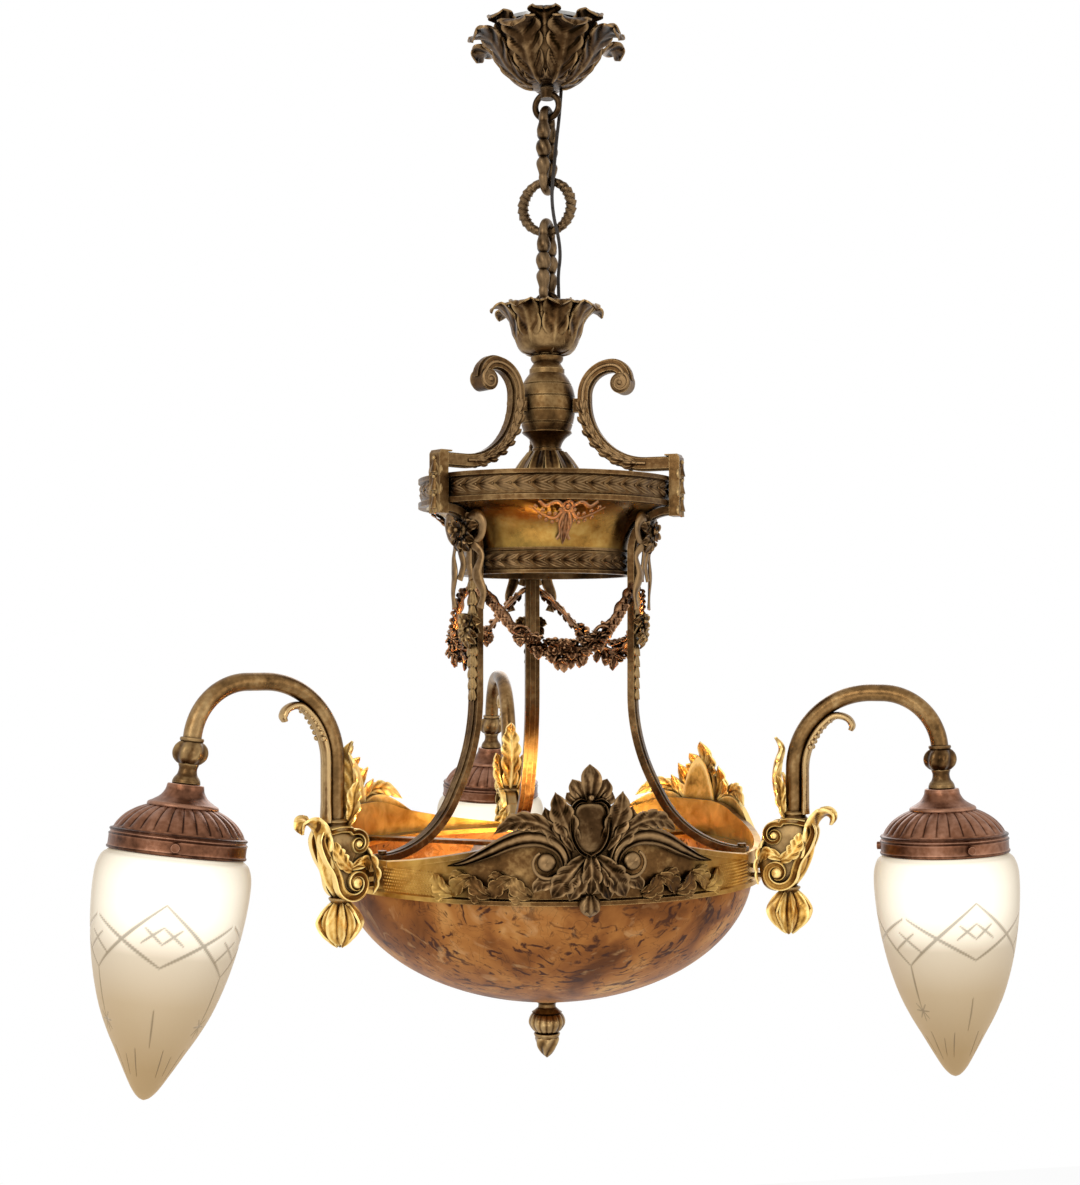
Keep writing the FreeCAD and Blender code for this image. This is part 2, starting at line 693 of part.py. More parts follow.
def corner_blocks():
    """Upright blocks that join scroll, corona and strap, each with three husks on its face."""
    inner = block_in_r()
    top = CORONA_TOP + BLOCK_RISE
    face_r = inner + BLOCK_T
    side = [(inner, top - BLOCK_H), (face_r, top - BLOCK_H), (face_r, top - 3), (face_r - 2, top),
            (inner - 4, top), (inner - 4, top - 1.2), (inner, top - 1.2)]
    pieces = [slab(side, BLOCK_W / 2)]
    for number in range(3):
        level = top - 6 - 15.0 * number
        husk = Part.makeCone(1.8, 4.6, 13.0, V(face_r - 1.3, 0, level), V(0, 0, -1))
        pieces.append(husk.common(box((face_r - 2, -9, level - 20), (face_r + HUSK_PROUD, 9, level + 5))))
    return at_all(fused(pieces), arm_azimuths())


def strap_corners():
    top_z = DRUM_TOP - STRAP_T / 2
    knee = V(STRAP_R, 0, FRIEZE_TOP + 91.0)
    heel = V(128.0, 0, STRAP_FOOT_Z)
    foot = V(heel.x + 84.0 * math.tan(math.radians(61.7 / 2)) + STRAP_FOOT_LENGTH, 0, STRAP_FOOT_Z)
    return [(V(block_in_r(), 0, top_z), 0), (V(STRAP_R, 0, top_z), STRAP_SHOULDER_R - 1.0),
            (knee, 160.0), (heel, 84.0), (foot, 0)]


def strap_screw_r():
    return strap_corners()[-1][0].x - 5.0


def plain_strap():
    corners = strap_corners()
    return carried(moulded_section(corners[0][0], STRAP_T, STRAP_W), corners)


def strap(name):
    hole = Part.makeCylinder(SCREW_R + THREAD_GAP, 30, V(strap_screw_r(), 0, SHELF_TOP - 10))
    return at_azimuth(plain_strap().cut(hole), ARMS[name][0])


def ribbon_bows():
    """A tied ribbon under each corner block, with two loops and two hanging tails."""
    knot = CORONA_TOP - BOW_DROP
    half = [(0, knot + 7, 1.0), (6, knot + 4, 2.5), (18, knot + 9, 4.0), (19, knot - 6, 1.5),
            (13, knot - 10, 0.0), (17.5, knot - 30, 1.0), (15.5, knot - 55, 0.0), (12.0, knot - 54, 0.0),
            (13.0, knot - 32, 0.0), (7, knot - 12, -1.0), (0, knot - 12)]
    out_r = STRAP_R + STRAP_T / 2 + 3
    ribbon = curved_plate(mirrored(half), out_r, out_r + BOW_T)
    boss = Part.makeSphere(6.0, V(out_r + 2, 0, knot))
    bow = fused([ribbon, boss]).cut(plain_strap())
    kept = max(bow.Solids, key=lambda solid: solid.Volume)
    return at_all(kept, arm_azimuths())


def husk_drops():
    """A string of bell-shaped husks down the face of each strap."""
    face_r = STRAP_R + STRAP_T / 2
    top = CORONA_TOP - DROP_TOP
    husks = []
    for number in range(DROP_HUSKS):
        mouth = 5.8 if number in (3, 4) else 4.6 - 0.1 * number
        start = V(face_r + 1.5, 0, top - DROP_HUSK_PITCH * number)
        husks.append(Part.makeCone(1.5, mouth, DROP_HUSK_PITCH + 1.0, start, V(0, 0, -1)))
    foot = top - DROP_HUSK_PITCH * DROP_HUSKS
    husks.append(Part.makeSphere(3.0, V(face_r + 1.5, 0, foot - 2)))
    drop = fused(husks).cut(box((face_r - 20, -20, foot - 20), (face_r, 20, top + 20)))
    return at_all(drop, arm_azimuths())


def garlands():
    """Swags of flowers from strap to strap, thick in the middle and thin as a ribbon at the ends."""
    places = []
    for side, points in ((-1, GARLAND_POINTS[:0:-1]), (1, GARLAND_POINTS)):
        for azimuth, drop, radius in points:
            angle = math.radians(side * azimuth)
            place = V(GARLAND_R * math.cos(angle), GARLAND_R * math.sin(angle), CORONA_TOP - drop)
            places.append((place, radius))
    pieces = []
    for (here, r_here), (there, r_there) in zip(places, places[1:]):
        step = there - here
        if abs(r_here - r_there) < 0.01:
            pieces.append(Part.makeCylinder(r_here, step.Length, here, step))
        else:
            pieces.append(Part.makeCone(r_here, r_there, step.Length, here, step))
    pieces += [Part.makeSphere(radius, place) for place, radius in places[1:-1]]
    swag = fused(pieces)
    for side in (-60.0, 60.0):
        swag = swag.cut(plain_strap().rotated(ORIGIN, UP, side))
    swag = max(swag.Solids, key=lambda solid: solid.Volume)
    return at_all(swag, CARTOUCHE_AZIMUTHS.values())


# ---- Bowl ring and cartouches ----------------------------------------------------------------
def crest_outline(depth):
    """The frieze's top line, which climbs to a cartouche from both sides, and one below it."""
    top = FRIEZE_TOP
    half = [(0, top + CREST_RISE), (CREST_IN, top + CREST_RISE, 1.5), (62, top + 19.5, -0.8),
            (CREST_HALF_W, top), (CREST_HALF_W, top - depth)]
    if depth < FRIEZE_H / 2:
        half += [(62, top + 19.5 - depth, -1.0), (CREST_IN, top + CREST_RISE - depth - 1),
                 (0, top + CREST_RISE - depth - 1)]
    else:
        half += [(0, top - depth)]
    return mirrored(half)


def bowl_ring():
    """The frieze with its mouldings, the shelf inside it and the crests behind the cartouches."""
    wall = annulus(SHELF_OUT_R, FRIEZE_R, FRIEZE_BOTTOM, FRIEZE_TOP)
    moulding = turned([(FRIEZE_R - 1, FRIEZE_BOTTOM), (MOULDING_R, FRIEZE_BOTTOM),
                       (MOULDING_R, FRIEZE_BOTTOM + MOULDING_H - 1.5), (FRIEZE_R, FRIEZE_BOTTOM + MOULDING_H),
                       (FRIEZE_R - 1, FRIEZE_BOTTOM + MOULDING_H)])
    shelf = annulus(SHELF_OUT_R - SHELF_W, SHELF_OUT_R + 1, SHELF_TOP - SHELF_T, SHELF_TOP)
    crest = curved_plate(crest_outline(FRIEZE_H - 2), SHELF_OUT_R, FRIEZE_R)
    edge = curved_plate(crest_outline(MOULDING_H), FRIEZE_R - 1, MOULDING_R)
    pieces = [wall, moulding, shelf]
    for azimuth in CARTOUCHE_AZIMUTHS.values():
        pieces += [at_azimuth(crest, azimuth), at_azimuth(edge, azimuth)]
    ring = fused(pieces)
    holes = []
    for azimuth in arm_azimuths():
        strap_hole = V(strap_screw_r(), 0, SHELF_TOP - SHELF_T)
        holes.append(at_azimuth(Part.makeCylinder(SCREW_R + THREAD_GAP, SHELF_T, strap_hole), azimuth))
        for level in bracket_screw_levels():
            start = V(SHELF_OUT_R, 0, level)
            head = Part.makeCylinder(SCREW_HEAD_R + THREAD_GAP, SCREW_HEAD_H + THREAD_GAP, start, RADIAL)
            hole = Part.makeCylinder(SCREW_R + THREAD_GAP, FRIEZE_T, start, RADIAL)
            holes.append(at_azimuth(head.fuse(hole), azimuth))
    return ring.cut(holes)


def cartouche(name):
    """A palmette over a shield between two volutes, with leaves that fall over the frieze."""
    top = FRIEZE_TOP
    half = [(0, top + 82, 1.0), (7.5, top + 71, 0.5), (8.5, top + 68, 0.5), (14.5, top + 70, 1.5),
            (17.0, top + 60, 0.5), (26.5, top + 59.5, 2.0), (31.0, top + 50, 1.0), (28.0, top + 41, 0.5),
            (36.0, top + 40, 1.5), (42.0, top + 41, 0.0), (49.0, top + 43, 1.5), (57.0, top + 38, 1.0),
            (66.0, top + 30, 1.5), (54.0, top + 23, -1.0), (46.0, top + 14, 3.0), (44.0, top - 3, 2.0),
            (31.0, top - 6, 0.0), (25.0, top - 12, -1.0), (30.5, top - 21.5, 1.5), (16.0, top - 24, 0.0),
            (9.0, top - 25, 2.0), (0, top - 37)]
    back_r = MOULDING_R + SEAT_GAP
    plate = curved_plate(mirrored(half), back_r, back_r + CARTOUCHE_T)
    shield_z = top + 32
    shield = [(0, shield_z + 18, 3.0), (11.5, shield_z + 12, 0.8), (10.5, shield_z - 8, 2.0),
              (0, shield_z - 19)]
    pieces = [plate, curved_plate(mirrored(shield), back_r, back_r + CARTOUCHE_T + SHIELD_PROUD)]
    palm = [(0, top + 80, 2.0), (6.0, top + 66, 1.5), (0, top + 54)]
    pieces.append(curved_plate(mirrored(palm), back_r, back_r + CARTOUCHE_T + 2))
    for side in (-1, 1):
        angle = side * math.degrees(math.asin(VOLUTE_AT[0] / back_r))
        height = top + VOLUTE_AT[1]
        volute = Part.makeCylinder(VOLUTE_R, CARTOUCHE_T + 4, V(back_r, 0, height), RADIAL)
        pieces.append(volute.rotated(ORIGIN, UP, angle))
        stud = Part.makeCylinder(3.0, MOULDING_PROUD + 1, V(FRIEZE_R + SEAT_GAP / 2, 0, top - 10), RADIAL)
        pieces.append(stud.rotated(ORIGIN, UP, angle / 2))
    return at_azimuth(fused(pieces), CARTOUCHE_AZIMUTHS[name])


# ---- Bowl, spider and finial -----------------------------------------------------------------
def ellipse_edge(radius, depth, rim_z):
    """A quarter ellipse from the rim down to the middle of the bottom, and its upper end."""
    curve = Part.Ellipse(V(radius, 0, BOWL_MIDDLE), V(0, 0, BOWL_MIDDLE - depth), V(0, 0, BOWL_MIDDLE))
    start = -math.asin((rim_z - BOWL_MIDDLE) / depth)
    return Part.ArcOfEllipse(curve, start, math.pi / 2).toShape(), curve.value(start)


def alabaster_bowl():
    outer, outer_rim = ellipse_edge(BOWL_R, BOWL_DEPTH, BOWL_RIM)
    inner, inner_rim = ellipse_edge(BOWL_R - BOWL_WALL, BOWL_DEPTH - BOWL_WALL, BOWL_RIM)
    rim = Part.LineSegment(outer_rim, inner_rim).toShape()
    axis = Part.LineSegment(V(0, 0, BOWL_BOTTOM), V(0, 0, BOWL_BOTTOM + BOWL_WALL)).toShape()
    profile = Part.Wire(Part.__sortEdges__([outer, rim, inner, axis]))
    bowl = outward(Part.Face(profile).revolve(ORIGIN, UP, 360))
    return bowl.cut(upright(BOWL_HOLE_R, BOWL_BOTTOM - 1, BOWL_BOTTOM + BOWL_WALL + 1))


def spider_top():
    return SHELF_TOP + SPIDER_T


def bowl_spider():
    """A three-armed bar on the ring's shelf, with a hub for the rod and a nipple for each lamp."""
    hub = upright(SPIDER_HUB_R, spider_top() - SPIDER_HUB_H, spider_top())
    bar = box((0, -SPIDER_W / 2, SHELF_TOP), (SHELF_OUT_R - 3, SPIDER_W / 2, spider_top()))
    nipple = Part.makeCylinder(NIPPLE_R, 9, V(BOWL_LAMP_R, 0, SHELF_TOP - 9))
    arms = [at_azimuth(fused([bar, nipple]), azimuth) for azimuth in CARTOUCHE_AZIMUTHS.values()]
    bore = upright(ROD_R + THREAD_GAP, spider_top() - SPIDER_HUB_H, spider_top())
    return fused([hub] + arms).cut(bore)


def bowl_rod():
    shaft = upright(ROD_R, BOWL_BOTTOM - 14, spider_top())
    return fused([shaft, hexagon_nut(spider_top(), bore=0)])


def finial():
    top = BOWL_BOTTOM - SEAT_GAP
    foot = BOWL_BOTTOM - FINIAL_H - 1
    body = turned([(0, foot), (3.5, foot + 6, 0.4), (10.0, foot + 18, -0.4), (11.0, foot + 20.5, -0.5),
                   (8.5, foot + 23, 0.8), (15.8, foot + 32, -1.6), (12.0, foot + 39.5, 1.5),
                   (7.8, foot + 43, 0.8), (8.2, foot + 48, 0.0), (13.5, foot + 50, -0.8),
                   (12.5, top), (0, top)])
    return body.cut(upright(ROD_R + THREAD_GAP, BOWL_BOTTOM - 15, top + 1))


# ---- Arms ------------------------------------------------------------------------------------
def bracket_top():
    return FRIEZE_TOP - ARM_ROOT_DROP


def bracket_screw_levels():
    """Two heights between the shelf inside the frieze and the moulding at its foot."""
    return (SHELF_TOP - SHELF_T - SCREW_HEAD_R - 2 * THREAD_GAP - 0.2,
            FRIEZE_BOTTOM + MOULDING_H + SCREW_R + 1.2)


def arm_bracket():
    """A vase with scrolled sides that grips the frieze, holds the arm and ends in a bud."""
    top = bracket_top()
    vase = turned([(0, top), (8.6, top), (10.5, top - 2, -0.6), (9.2, top - 7, 0.6), (12.0, top - 14, -1.5),
                   (16.5, top - 40, -2.0), (11.0, top - 58), (5.5, top - 63), (5.0, top - 66, -1.5),
                   (9.6, top - 78, -1.0), (7.5, top - 88, 0.3), (1.5, top - 99), (0, top - 99)]).translated(V(ARM_R, 0, 0))
    grip = box((FRIEZE_R + SEAT_GAP, -12, FRIEZE_BOTTOM + MOULDING_H + SEAT_GAP),
               (ARM_R - 14, 12, FRIEZE_TOP - MOULDING_H - SEAT_GAP))
    plate = curved_plate([(-17, FRIEZE_BOTTOM + 1, 2), (17, FRIEZE_BOTTOM + 1, 2), (15, FRIEZE_TOP + 12, 4),
                          (-15, FRIEZE_TOP + 12, 2)], MOULDING_R + SEAT_GAP, MOULDING_R + 6)
    low_volute = rod(9.0, V(ARM_R - 16, -17, FRIEZE_BOTTOM + 8), V(ARM_R - 16, 17, FRIEZE_BOTTOM + 8))
    high_volute = rod(6.5, V(ARM_R - 13, -14, top - 14), V(ARM_R - 13, 14, top - 14))
    web = box((MOULDING_R + 3, -6, FRIEZE_TOP - 6), (ARM_R - 6, 6, top - 12))
    leaf_path = [(V(ARM_R + 13, 0, top - 30), 0), (V(ARM_R + 13, 0, top), 8.0),
                 (V(ARM_R + 26, 0, top), 4.0), (V(ARM_R + 26, 0, top - 6), 0)]
    leaf_foot = leaf_path[0][0]
    strip = [(-8, -LEAF_T / 2), (8, -LEAF_T / 2), (8, LEAF_T / 2), (-8, LEAF_T / 2)]
    section = Part.Face(Part.makePolygon([leaf_foot + V(b, a, 0) for a, b in strip + strip[:1]]))
    body = fused([vase, grip, plate, low_volute, high_volute, web, carried(section, leaf_path)])
    socket = Part.makeCylinder(ARM_TUBE_R + THREAD_GAP, ARM_SOCKET, V(ARM_R, 0, top - ARM_SOCKET))
    holes = [socket]
    for level in bracket_screw_levels():
        holes.append(Part.makeCylinder(SCREW_R + THREAD_GAP, 14, V(FRIEZE_R, 0, level), RADIAL))
    return body.cut(holes)


def arm_brackets():
    return at_all(arm_bracket(), arm_azimuths())


def lamp_down(name):
    """The direction in which an arm's lamp hangs, drawn at +X."""
    lean = math.radians(ARMS[name][4])
    return V(math.sin(lean), 0, -math.cos(lean))


def lamp_place(name):
    return V(ARMS[name][2], 0, FRIEZE_TOP + ARMS[name][3])


def arm_tube(name):
    azimuth, crown, reach, height, lean = ARMS[name]
    crown_z = FRIEZE_TOP + crown
    shoulder_x = reach - (crown - height) * math.tan(math.radians(lean))
    end = lamp_place(name) - lamp_down(name) * 2.0
    foot = V(ARM_R, 0, bracket_top() - ARM_SOCKET)
    corners = [(foot, 0), (V(ARM_R, 0, crown_z), ARM_BEND_IN), (V(shoulder_x, 0, crown_z), ARM_BEND_OUT),
               (end, 0)]
    section = round_section(foot, corners[1][0], ARM_TUBE_R, ARM_TUBE_R - ARM_TUBE_WALL)
    return at_azimuth(carried(section, corners), azimuth)


def arm_leaf(name):
    """A leaf that follows the inside of the arch and curls away from it at its tip."""
    crown_z = FRIEZE_TOP + ARMS[name][1]
    centre = V(ARM_R + ARM_BEND_IN, 0, crown_z - ARM_BEND_IN)
    hug_r = ARM_BEND_IN - ARM_TUBE_R - SEAT_GAP - LEAF_T / 2
    start = V(centre.x - hug_r, 0, bracket_top() + 1)
    hug = math.radians(LEAF_HUG)
    first = V(start.x, 0, centre.z + hug_r * math.tan(hug / 2))
    leave = V(centre.x - hug_r * math.cos(hug), 0, centre.z + hug_r * math.sin(hug))
    onward = V(math.sin(hug), 0, math.cos(hug))
    second = leave + onward * ((LEAF_CURL_R + 0.01) * math.tan(math.radians(180 - LEAF_HUG) / 2))
    tip = V(second.x, 0, leave.z - LEAF_CURL_R * math.sin(hug))
    corners = [(start, 0), (first, hug_r), (second, LEAF_CURL_R), (tip, 0)]
    half_w, half_t = LEAF_W / 2, LEAF_T / 2
    strip = [(-half_w, -half_t), (half_w, -half_t), (half_w, half_t), (-half_w, half_t)]
    section = Part.Face(Part.makePolygon([start + V(b, a, 0) for a, b in strip + strip[:1]]))
    return at_azimuth(carried(section, corners), ARMS[name][0])


# ---- Lamps, drawn with their top at the origin and their axis upright ------------------------
def hung(shape, name):
    """Moves a lamp's piece to the end of its arm and leans it outward."""
    leaning = shape.rotated(ORIGIN, TANGENT, -ARMS[name][4]).translated(lamp_place(name))
    return at_azimuth(leaning, ARMS[name][0])


def hung_on_all(shape):
    return group(hung(shape, name) for name in ARMS)


def gallery_top():
    return -KNOP_H / 2 - LAMP_NECK_H


def gallery_foot():
    return gallery_top() - GALLERY_H


def arm_knop():
    half = KNOP_H / 2
    body = turned([(0, half), (8.6, half), (9.5, half - 1.5, -0.4), (11.5, half - 3.5), (KNOP_R, 1.5, -0.7),
                   (KNOP_R, -1.5), (11.0, -half + 3, -0.5), (8.2, -half), (LAMP_NECK_R, -half - 5, 0.4),
                   (9.0, gallery_top() + 3), (9.0, gallery_top()), (NIPPLE_R, gallery_top()),
                   (NIPPLE_R, gallery_top() - 12), (0, gallery_top() - 12)])
    return body.cut(upright(ARM_TUBE_R + THREAD_GAP, 2.0, half))


def gallery(name):
    """A spun cap with a fluted dome and a plain rim that carries the shade."""
    top, foot = gallery_top(), gallery_foot()
    rim = foot + GALLERY_RIM_H
    outer = [(GALLERY_R, foot), (GALLERY_R, rim), (47.7, rim + 2, -4.2), (21.0, top - 14, 1.2),
             (14.7, top - 6), (14.7, top)]
    shell = thin_turned(outer, GALLERY_WALL)
    lid = annulus(NIPPLE_R + THREAD_GAP, 14.0, top - 2, top)
    cap = fused([shell, lid])
    cuts = []
    for number in range(GALLERY_LOBES):
        groove = rod(0.8, V(46.8, 0, rim + 5), V(24.0, 0, top - 13.5))
        cuts.append(groove.rotated(ORIGIN, UP, 360.0 * (number + 0.5) / GALLERY_LOBES))
    for number in range(GALLERY_SCREWS):
        hole = Part.makeCylinder(SCREW_R + THREAD_GAP, 6, V(GALLERY_R - 4, 0, gallery_screw_z()), RADIAL)
        cuts.append(hole.rotated(ORIGIN, UP, gallery_screw_angle(number)))
    cut_cap = cap.cut(cuts)
    return hung(max(cut_cap.Solids, key=lambda solid: solid.Volume), name)


def gallery_screw_z():
    return gallery_foot() + GALLERY_RIM_H / 2


def gallery_screw_angle(number):
    return 360.0 * number / GALLERY_SCREWS + 60.0


def gallery_screws():
    start = V(SHADE_NECK_R + SEAT_GAP, 0, gallery_screw_z())
    shank = Part.makeCylinder(SCREW_R, 3.5, start, RADIAL)
    head = Part.makeCylinder(SCREW_HEAD_R - 0.4, 3.0, V(GALLERY_R + SEAT_GAP, 0, start.z), RADIAL)
    screw = fused([shank, head])
    screws = [screw.rotated(ORIGIN, UP, gallery_screw_angle(number)) for number in range(GALLERY_SCREWS)]
    return hung_on_all(group(screws))


def glass_shade(name):
    """A frosted drop, widest just below its shoulder and pointed at its foot."""
    foot = gallery_foot()
    outer = [(0, foot - 181), (5.0, foot - 179.0, -0.9), (28.3, foot - 139.5, -1.0),
             (47.7, foot - 94, -2.6), (57.7, foot - 21, -1.0), (54.0, foot - 4, -0.8),
             (SHADE_NECK_R, foot - SEAT_GAP), (SHADE_NECK_R, foot + 10)]
    return hung(thin_turned(outer, SHADE_WALL), name)


def lampholder():
    top = gallery_top() - 2 - SEAT_GAP
    foot = top - HOLDER_H
    cap = BULB_CAP_R + THREAD_GAP
    body = turned([(0, top), (9, top), (HOLDER_R, top - 18), (HOLDER_R, foot + 3), (HOLDER_R - 1.5, foot),
                   (cap, foot), (cap, foot + 26), (0, foot + 26)])
    return body.cut(upright(NIPPLE_R + THREAD_GAP, top - 10, top))


def bulb():
    cap_top = gallery_top() - 2 - SEAT_GAP - HOLDER_H + 25.5
    middle = cap_top - 64.0
    return fused([upright(BULB_CAP_R, middle, cap_top), Part.makeSphere(BULB_R, V(0, 0, middle))])


def in_all_places(shape):
    """Puts a lamp's piece into the three shades, and three more times under the spider."""
    drop = SHELF_TOP - SEAT_GAP - (gallery_top() - 2 - SEAT_GAP)
    in_bowl = at_all(shape.translated(V(BOWL_LAMP_R, 0, drop)), CARTOUCHE_AZIMUTHS.values())
    return group(hung_on_all(shape).Solids + in_bowl.Solids)


def frame_screws():
    """Screws through the strap feet into the shelf, and through the frieze into the brackets."""
    head_z = STRAP_FOOT_Z + STRAP_T / 2 + SEAT_GAP
    shank = rod(SCREW_R, V(strap_screw_r(), 0, SHELF_TOP - SHELF_T), V(strap_screw_r(), 0, head_z))
    head = rod(SCREW_HEAD_R, V(strap_screw_r(), 0, head_z), V(strap_screw_r(), 0, head_z + SCREW_HEAD_H))
    screws = [fused([shank, head])]
    for level in bracket_screw_levels():
        start = V(SHELF_OUT_R, 0, level)
        flat = Part.makeCylinder(SCREW_HEAD_R, SCREW_HEAD_H, start, RADIAL)
        stem = Part.makeCylinder(SCREW_R, 14, start, RADIAL)
        screws.append(fused([flat, stem]))
    return at_all(group(screws), arm_azimuths())


# ---- All pieces ------------------------------------------------------------------------------
def all_nodes():
    nodes = {
        "ceiling_plate": ceiling_plate(),
        "hanging_rod": hanging_rod(),
        "rod_nuts": rod_nuts(),
        "terminal_block": terminal_block(),
        "ceiling_canopy": ceiling_canopy(),
        "canopy_collar": canopy_collar(),
        "canopy_loop": canopy_loop(),
        "upper_chain_link": chain_link(LINK_1_TOP),
        "chain_ring": chain_ring(),
        "lower_chain_link": chain_link(LINK_2_TOP),
        "stem_eye": stem_eye(),
        "top_leaf_cup": top_leaf_cup(),
        "stem_neck": stem_neck(),
        "stem_urn": stem_urn(),
        "stem_foot": stem_foot(),
        "stem_rod": stem_rod(),
        "stem_washer": stem_washer(),
        "corona_top_plate": corona_top_plate(),
        "corona_upper_band": corona_upper_band(),
        "corona_drum": corona_drum(),
        "corona_lower_band": corona_lower_band(),
        "drum_swags": drum_swags(),
        "corner_blocks": corner_blocks(),
        "ribbon_bows": ribbon_bows(),
        "husk_drops": husk_drops(),
        "garlands": garlands(),
        "bowl_ring": bowl_ring(),
        "alabaster_bowl": alabaster_bowl(),
        "bowl_spider": bowl_spider(),
        "bowl_rod": bowl_rod(),
        "finial": finial(),
        "frame_screws": frame_screws(),
        "arm_brackets": arm_brackets(),
        "arm_leaves": group(arm_leaf(name) for name in ARMS),
        "arm_knops": hung_on_all(arm_knop()),
        "gallery_screws": gallery_screws(),
        "lampholders": in_all_places(lampholder()),
        "bulbs": in_all_places(bulb()),
    }
    nodes.update(leads())
    for name in ARMS:
        nodes[f"scroll_{name}"] = scroll(name)
        nodes[f"strap_{name}"] = strap(name)
        nodes[f"arm_{name}"] = arm_tube(name)
        nodes[f"gallery_{name}"] = gallery(name)
        nodes[f"glass_shade_{name}"] = glass_shade(name)
    for name in CARTOUCHE_AZIMUTHS:
        nodes[f"cartouche_{name}"] = cartouche(name)
    return nodes


os.makedirs("parts", exist_ok=True)
for node, shape in all_nodes().items():
    shape.exportStep(f"parts/{node}.step")
    sound = all(solid.isValid() and solid.Volume > 0 for solid in shape.Solids)
    print(f"{node}: {len(shape.Solids)} solids, {shape.Volume / 1000:.1f} cm3{'' if sound else ', NOT SOUND'}")
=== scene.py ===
import math

import bpy
import numpy as np
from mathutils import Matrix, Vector


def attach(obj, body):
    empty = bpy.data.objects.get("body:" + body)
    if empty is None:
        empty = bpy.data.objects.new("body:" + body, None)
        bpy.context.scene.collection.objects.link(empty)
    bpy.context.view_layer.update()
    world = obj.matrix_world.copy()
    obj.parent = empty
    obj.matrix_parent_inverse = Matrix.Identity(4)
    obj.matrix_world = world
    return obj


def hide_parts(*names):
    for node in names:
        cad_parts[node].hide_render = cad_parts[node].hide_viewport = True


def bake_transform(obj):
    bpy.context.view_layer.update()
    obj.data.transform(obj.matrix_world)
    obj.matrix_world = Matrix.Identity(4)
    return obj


# The looks of a hanging light with an alabaster bowl. Shapes are drawn in millimetres and become
# metres when they are made into pieces. Z 0 is the ceiling. An azimuth is counted from -Y, the
# front, towards +X. Three drawing spaces are used:
#   radial: X is the radius, Y the tangent, Z the height; turned_to() brings it to an azimuth
#   flat:   X to the right, Y up, Z outward; wrapped() bends it round a cylinder
#   lamp:   Z along a lamp's axis, zero at the end of its arm; hung() puts it on an arm

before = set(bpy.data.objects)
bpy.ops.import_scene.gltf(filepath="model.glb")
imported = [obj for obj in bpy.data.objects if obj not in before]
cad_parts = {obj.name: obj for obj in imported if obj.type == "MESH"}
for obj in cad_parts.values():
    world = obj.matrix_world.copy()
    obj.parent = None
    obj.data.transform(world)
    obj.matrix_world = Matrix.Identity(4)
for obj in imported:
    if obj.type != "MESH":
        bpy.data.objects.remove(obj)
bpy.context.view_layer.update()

MM, MM_PER_METRE = 0.001, 1000
CAD_SHARP_DEGREES, DRAWN_SHARP_DEGREES = 35, 50.0

# ---- Sizes, in millimetres -------------------------------------------------------------------
CARTOUCHE_AZIMUTHS = {"front": 0.0, "back_right": 120.0, "back_left": -120.0}
ARM_AZIMUTHS = {"left": -60.0, "right": 60.0, "rear": 180.0}
# reach, height over the ring's top, lean of each lamp
LAMPS = {"left": (349.0, 93.0, 8.6), "right": (340.0, 81.0, 2.7), "rear": (344.5, 87.0, 5.6)}
ARM_CROWNS = {"left": 145.5, "right": 134.5, "rear": 140.0}
CHAIN_AZIMUTH = -30.0
UPPER_LINK_TOP, LOWER_LINK_TOP = -72.0, -170.8
LINK_PITCH, LINK_HALF, KNUCKLE_PITCH = 70.6, 9.0, 15.5
RING_MIDDLE, RING_WIRE_R, RING_LEAVES = -156.7, 22.4, 26
CANOPY_FOOT = -51.5
CUP_FOOT = -287.0
FOOT_TOP = -372.4
CORONA_TOP = -398.0
BAND_R = 110.5
UPPER_LAUREL, LOWER_LAUREL = -409.2, -470.6
BLOCK_FACE_R, BLOCK_ORNAMENT = 121.6, -402
BOW_HEIGHT, DROP_HEIGHT = -445, -480
GARLAND_R, GARLAND_SEED = 80.0, 5
DRUM_TOP, DRUM_FOOT = -423.0, -460.0
DRUM_TOP_R, DRUM_FOOT_R, DRUM_HOLLOW = 106.0, 73.0, 8.0
LOWER_BAND_R = 72.7
STRAP_R, STRAP_HALF_T = 79.0, 4.0
RING_TOP = -716.0
RING_R, MOULDING_R = 184.0, 187.0
BOWL_FOOT = -851.0
ARM_R, ARM_TUBE_R, ARM_BEND = 220.0, 7.0, 64.5
BRACKET_TOP, BUD_R = -684.0, 216.0
GALLERY_TOP, GALLERY_FOOT, GALLERY_RIM = -23.75, -75.75, 12.5
GALLERY_FLUTES = 28
BULB_MIDDLE = -104.0
LEAD_R, LEAD_BEND, LEAD_LAP = 1.6, 16, 1.5
LEAD_POINTS = (
    (7.0, -22.0, -15.0), (7.0, -22.0, -27.0), (8.4, -15.6, -41.0), (9.2, -10.2, -58.0),
    (8.8, -7.0, -78.0), (8.0, -2.4, -98.0),
    (8.6, 3.2, -116.0), (8.4, 8.0, -134.0), (7.4, 8.6, -152.0), (9.4, 8.2, -170.0),
    (13.2, 6.4, -186.0), (13.6, 2.6, -202.0), (9.8, -1.6, -216.0), (8.6, -6.2, -231.0),
    (8.6, -8.2, -248.0), (8.4, -8.2, -266.0), (8.4, -7.6, -286.0),
)
LEAD_NODES = ("lead_at_loop", "lead_at_ring_top", "lead_at_ring_foot", "lead_at_eye")
LEAD_CUT_HEIGHTS = (-107.0, -161.0, -209.0)

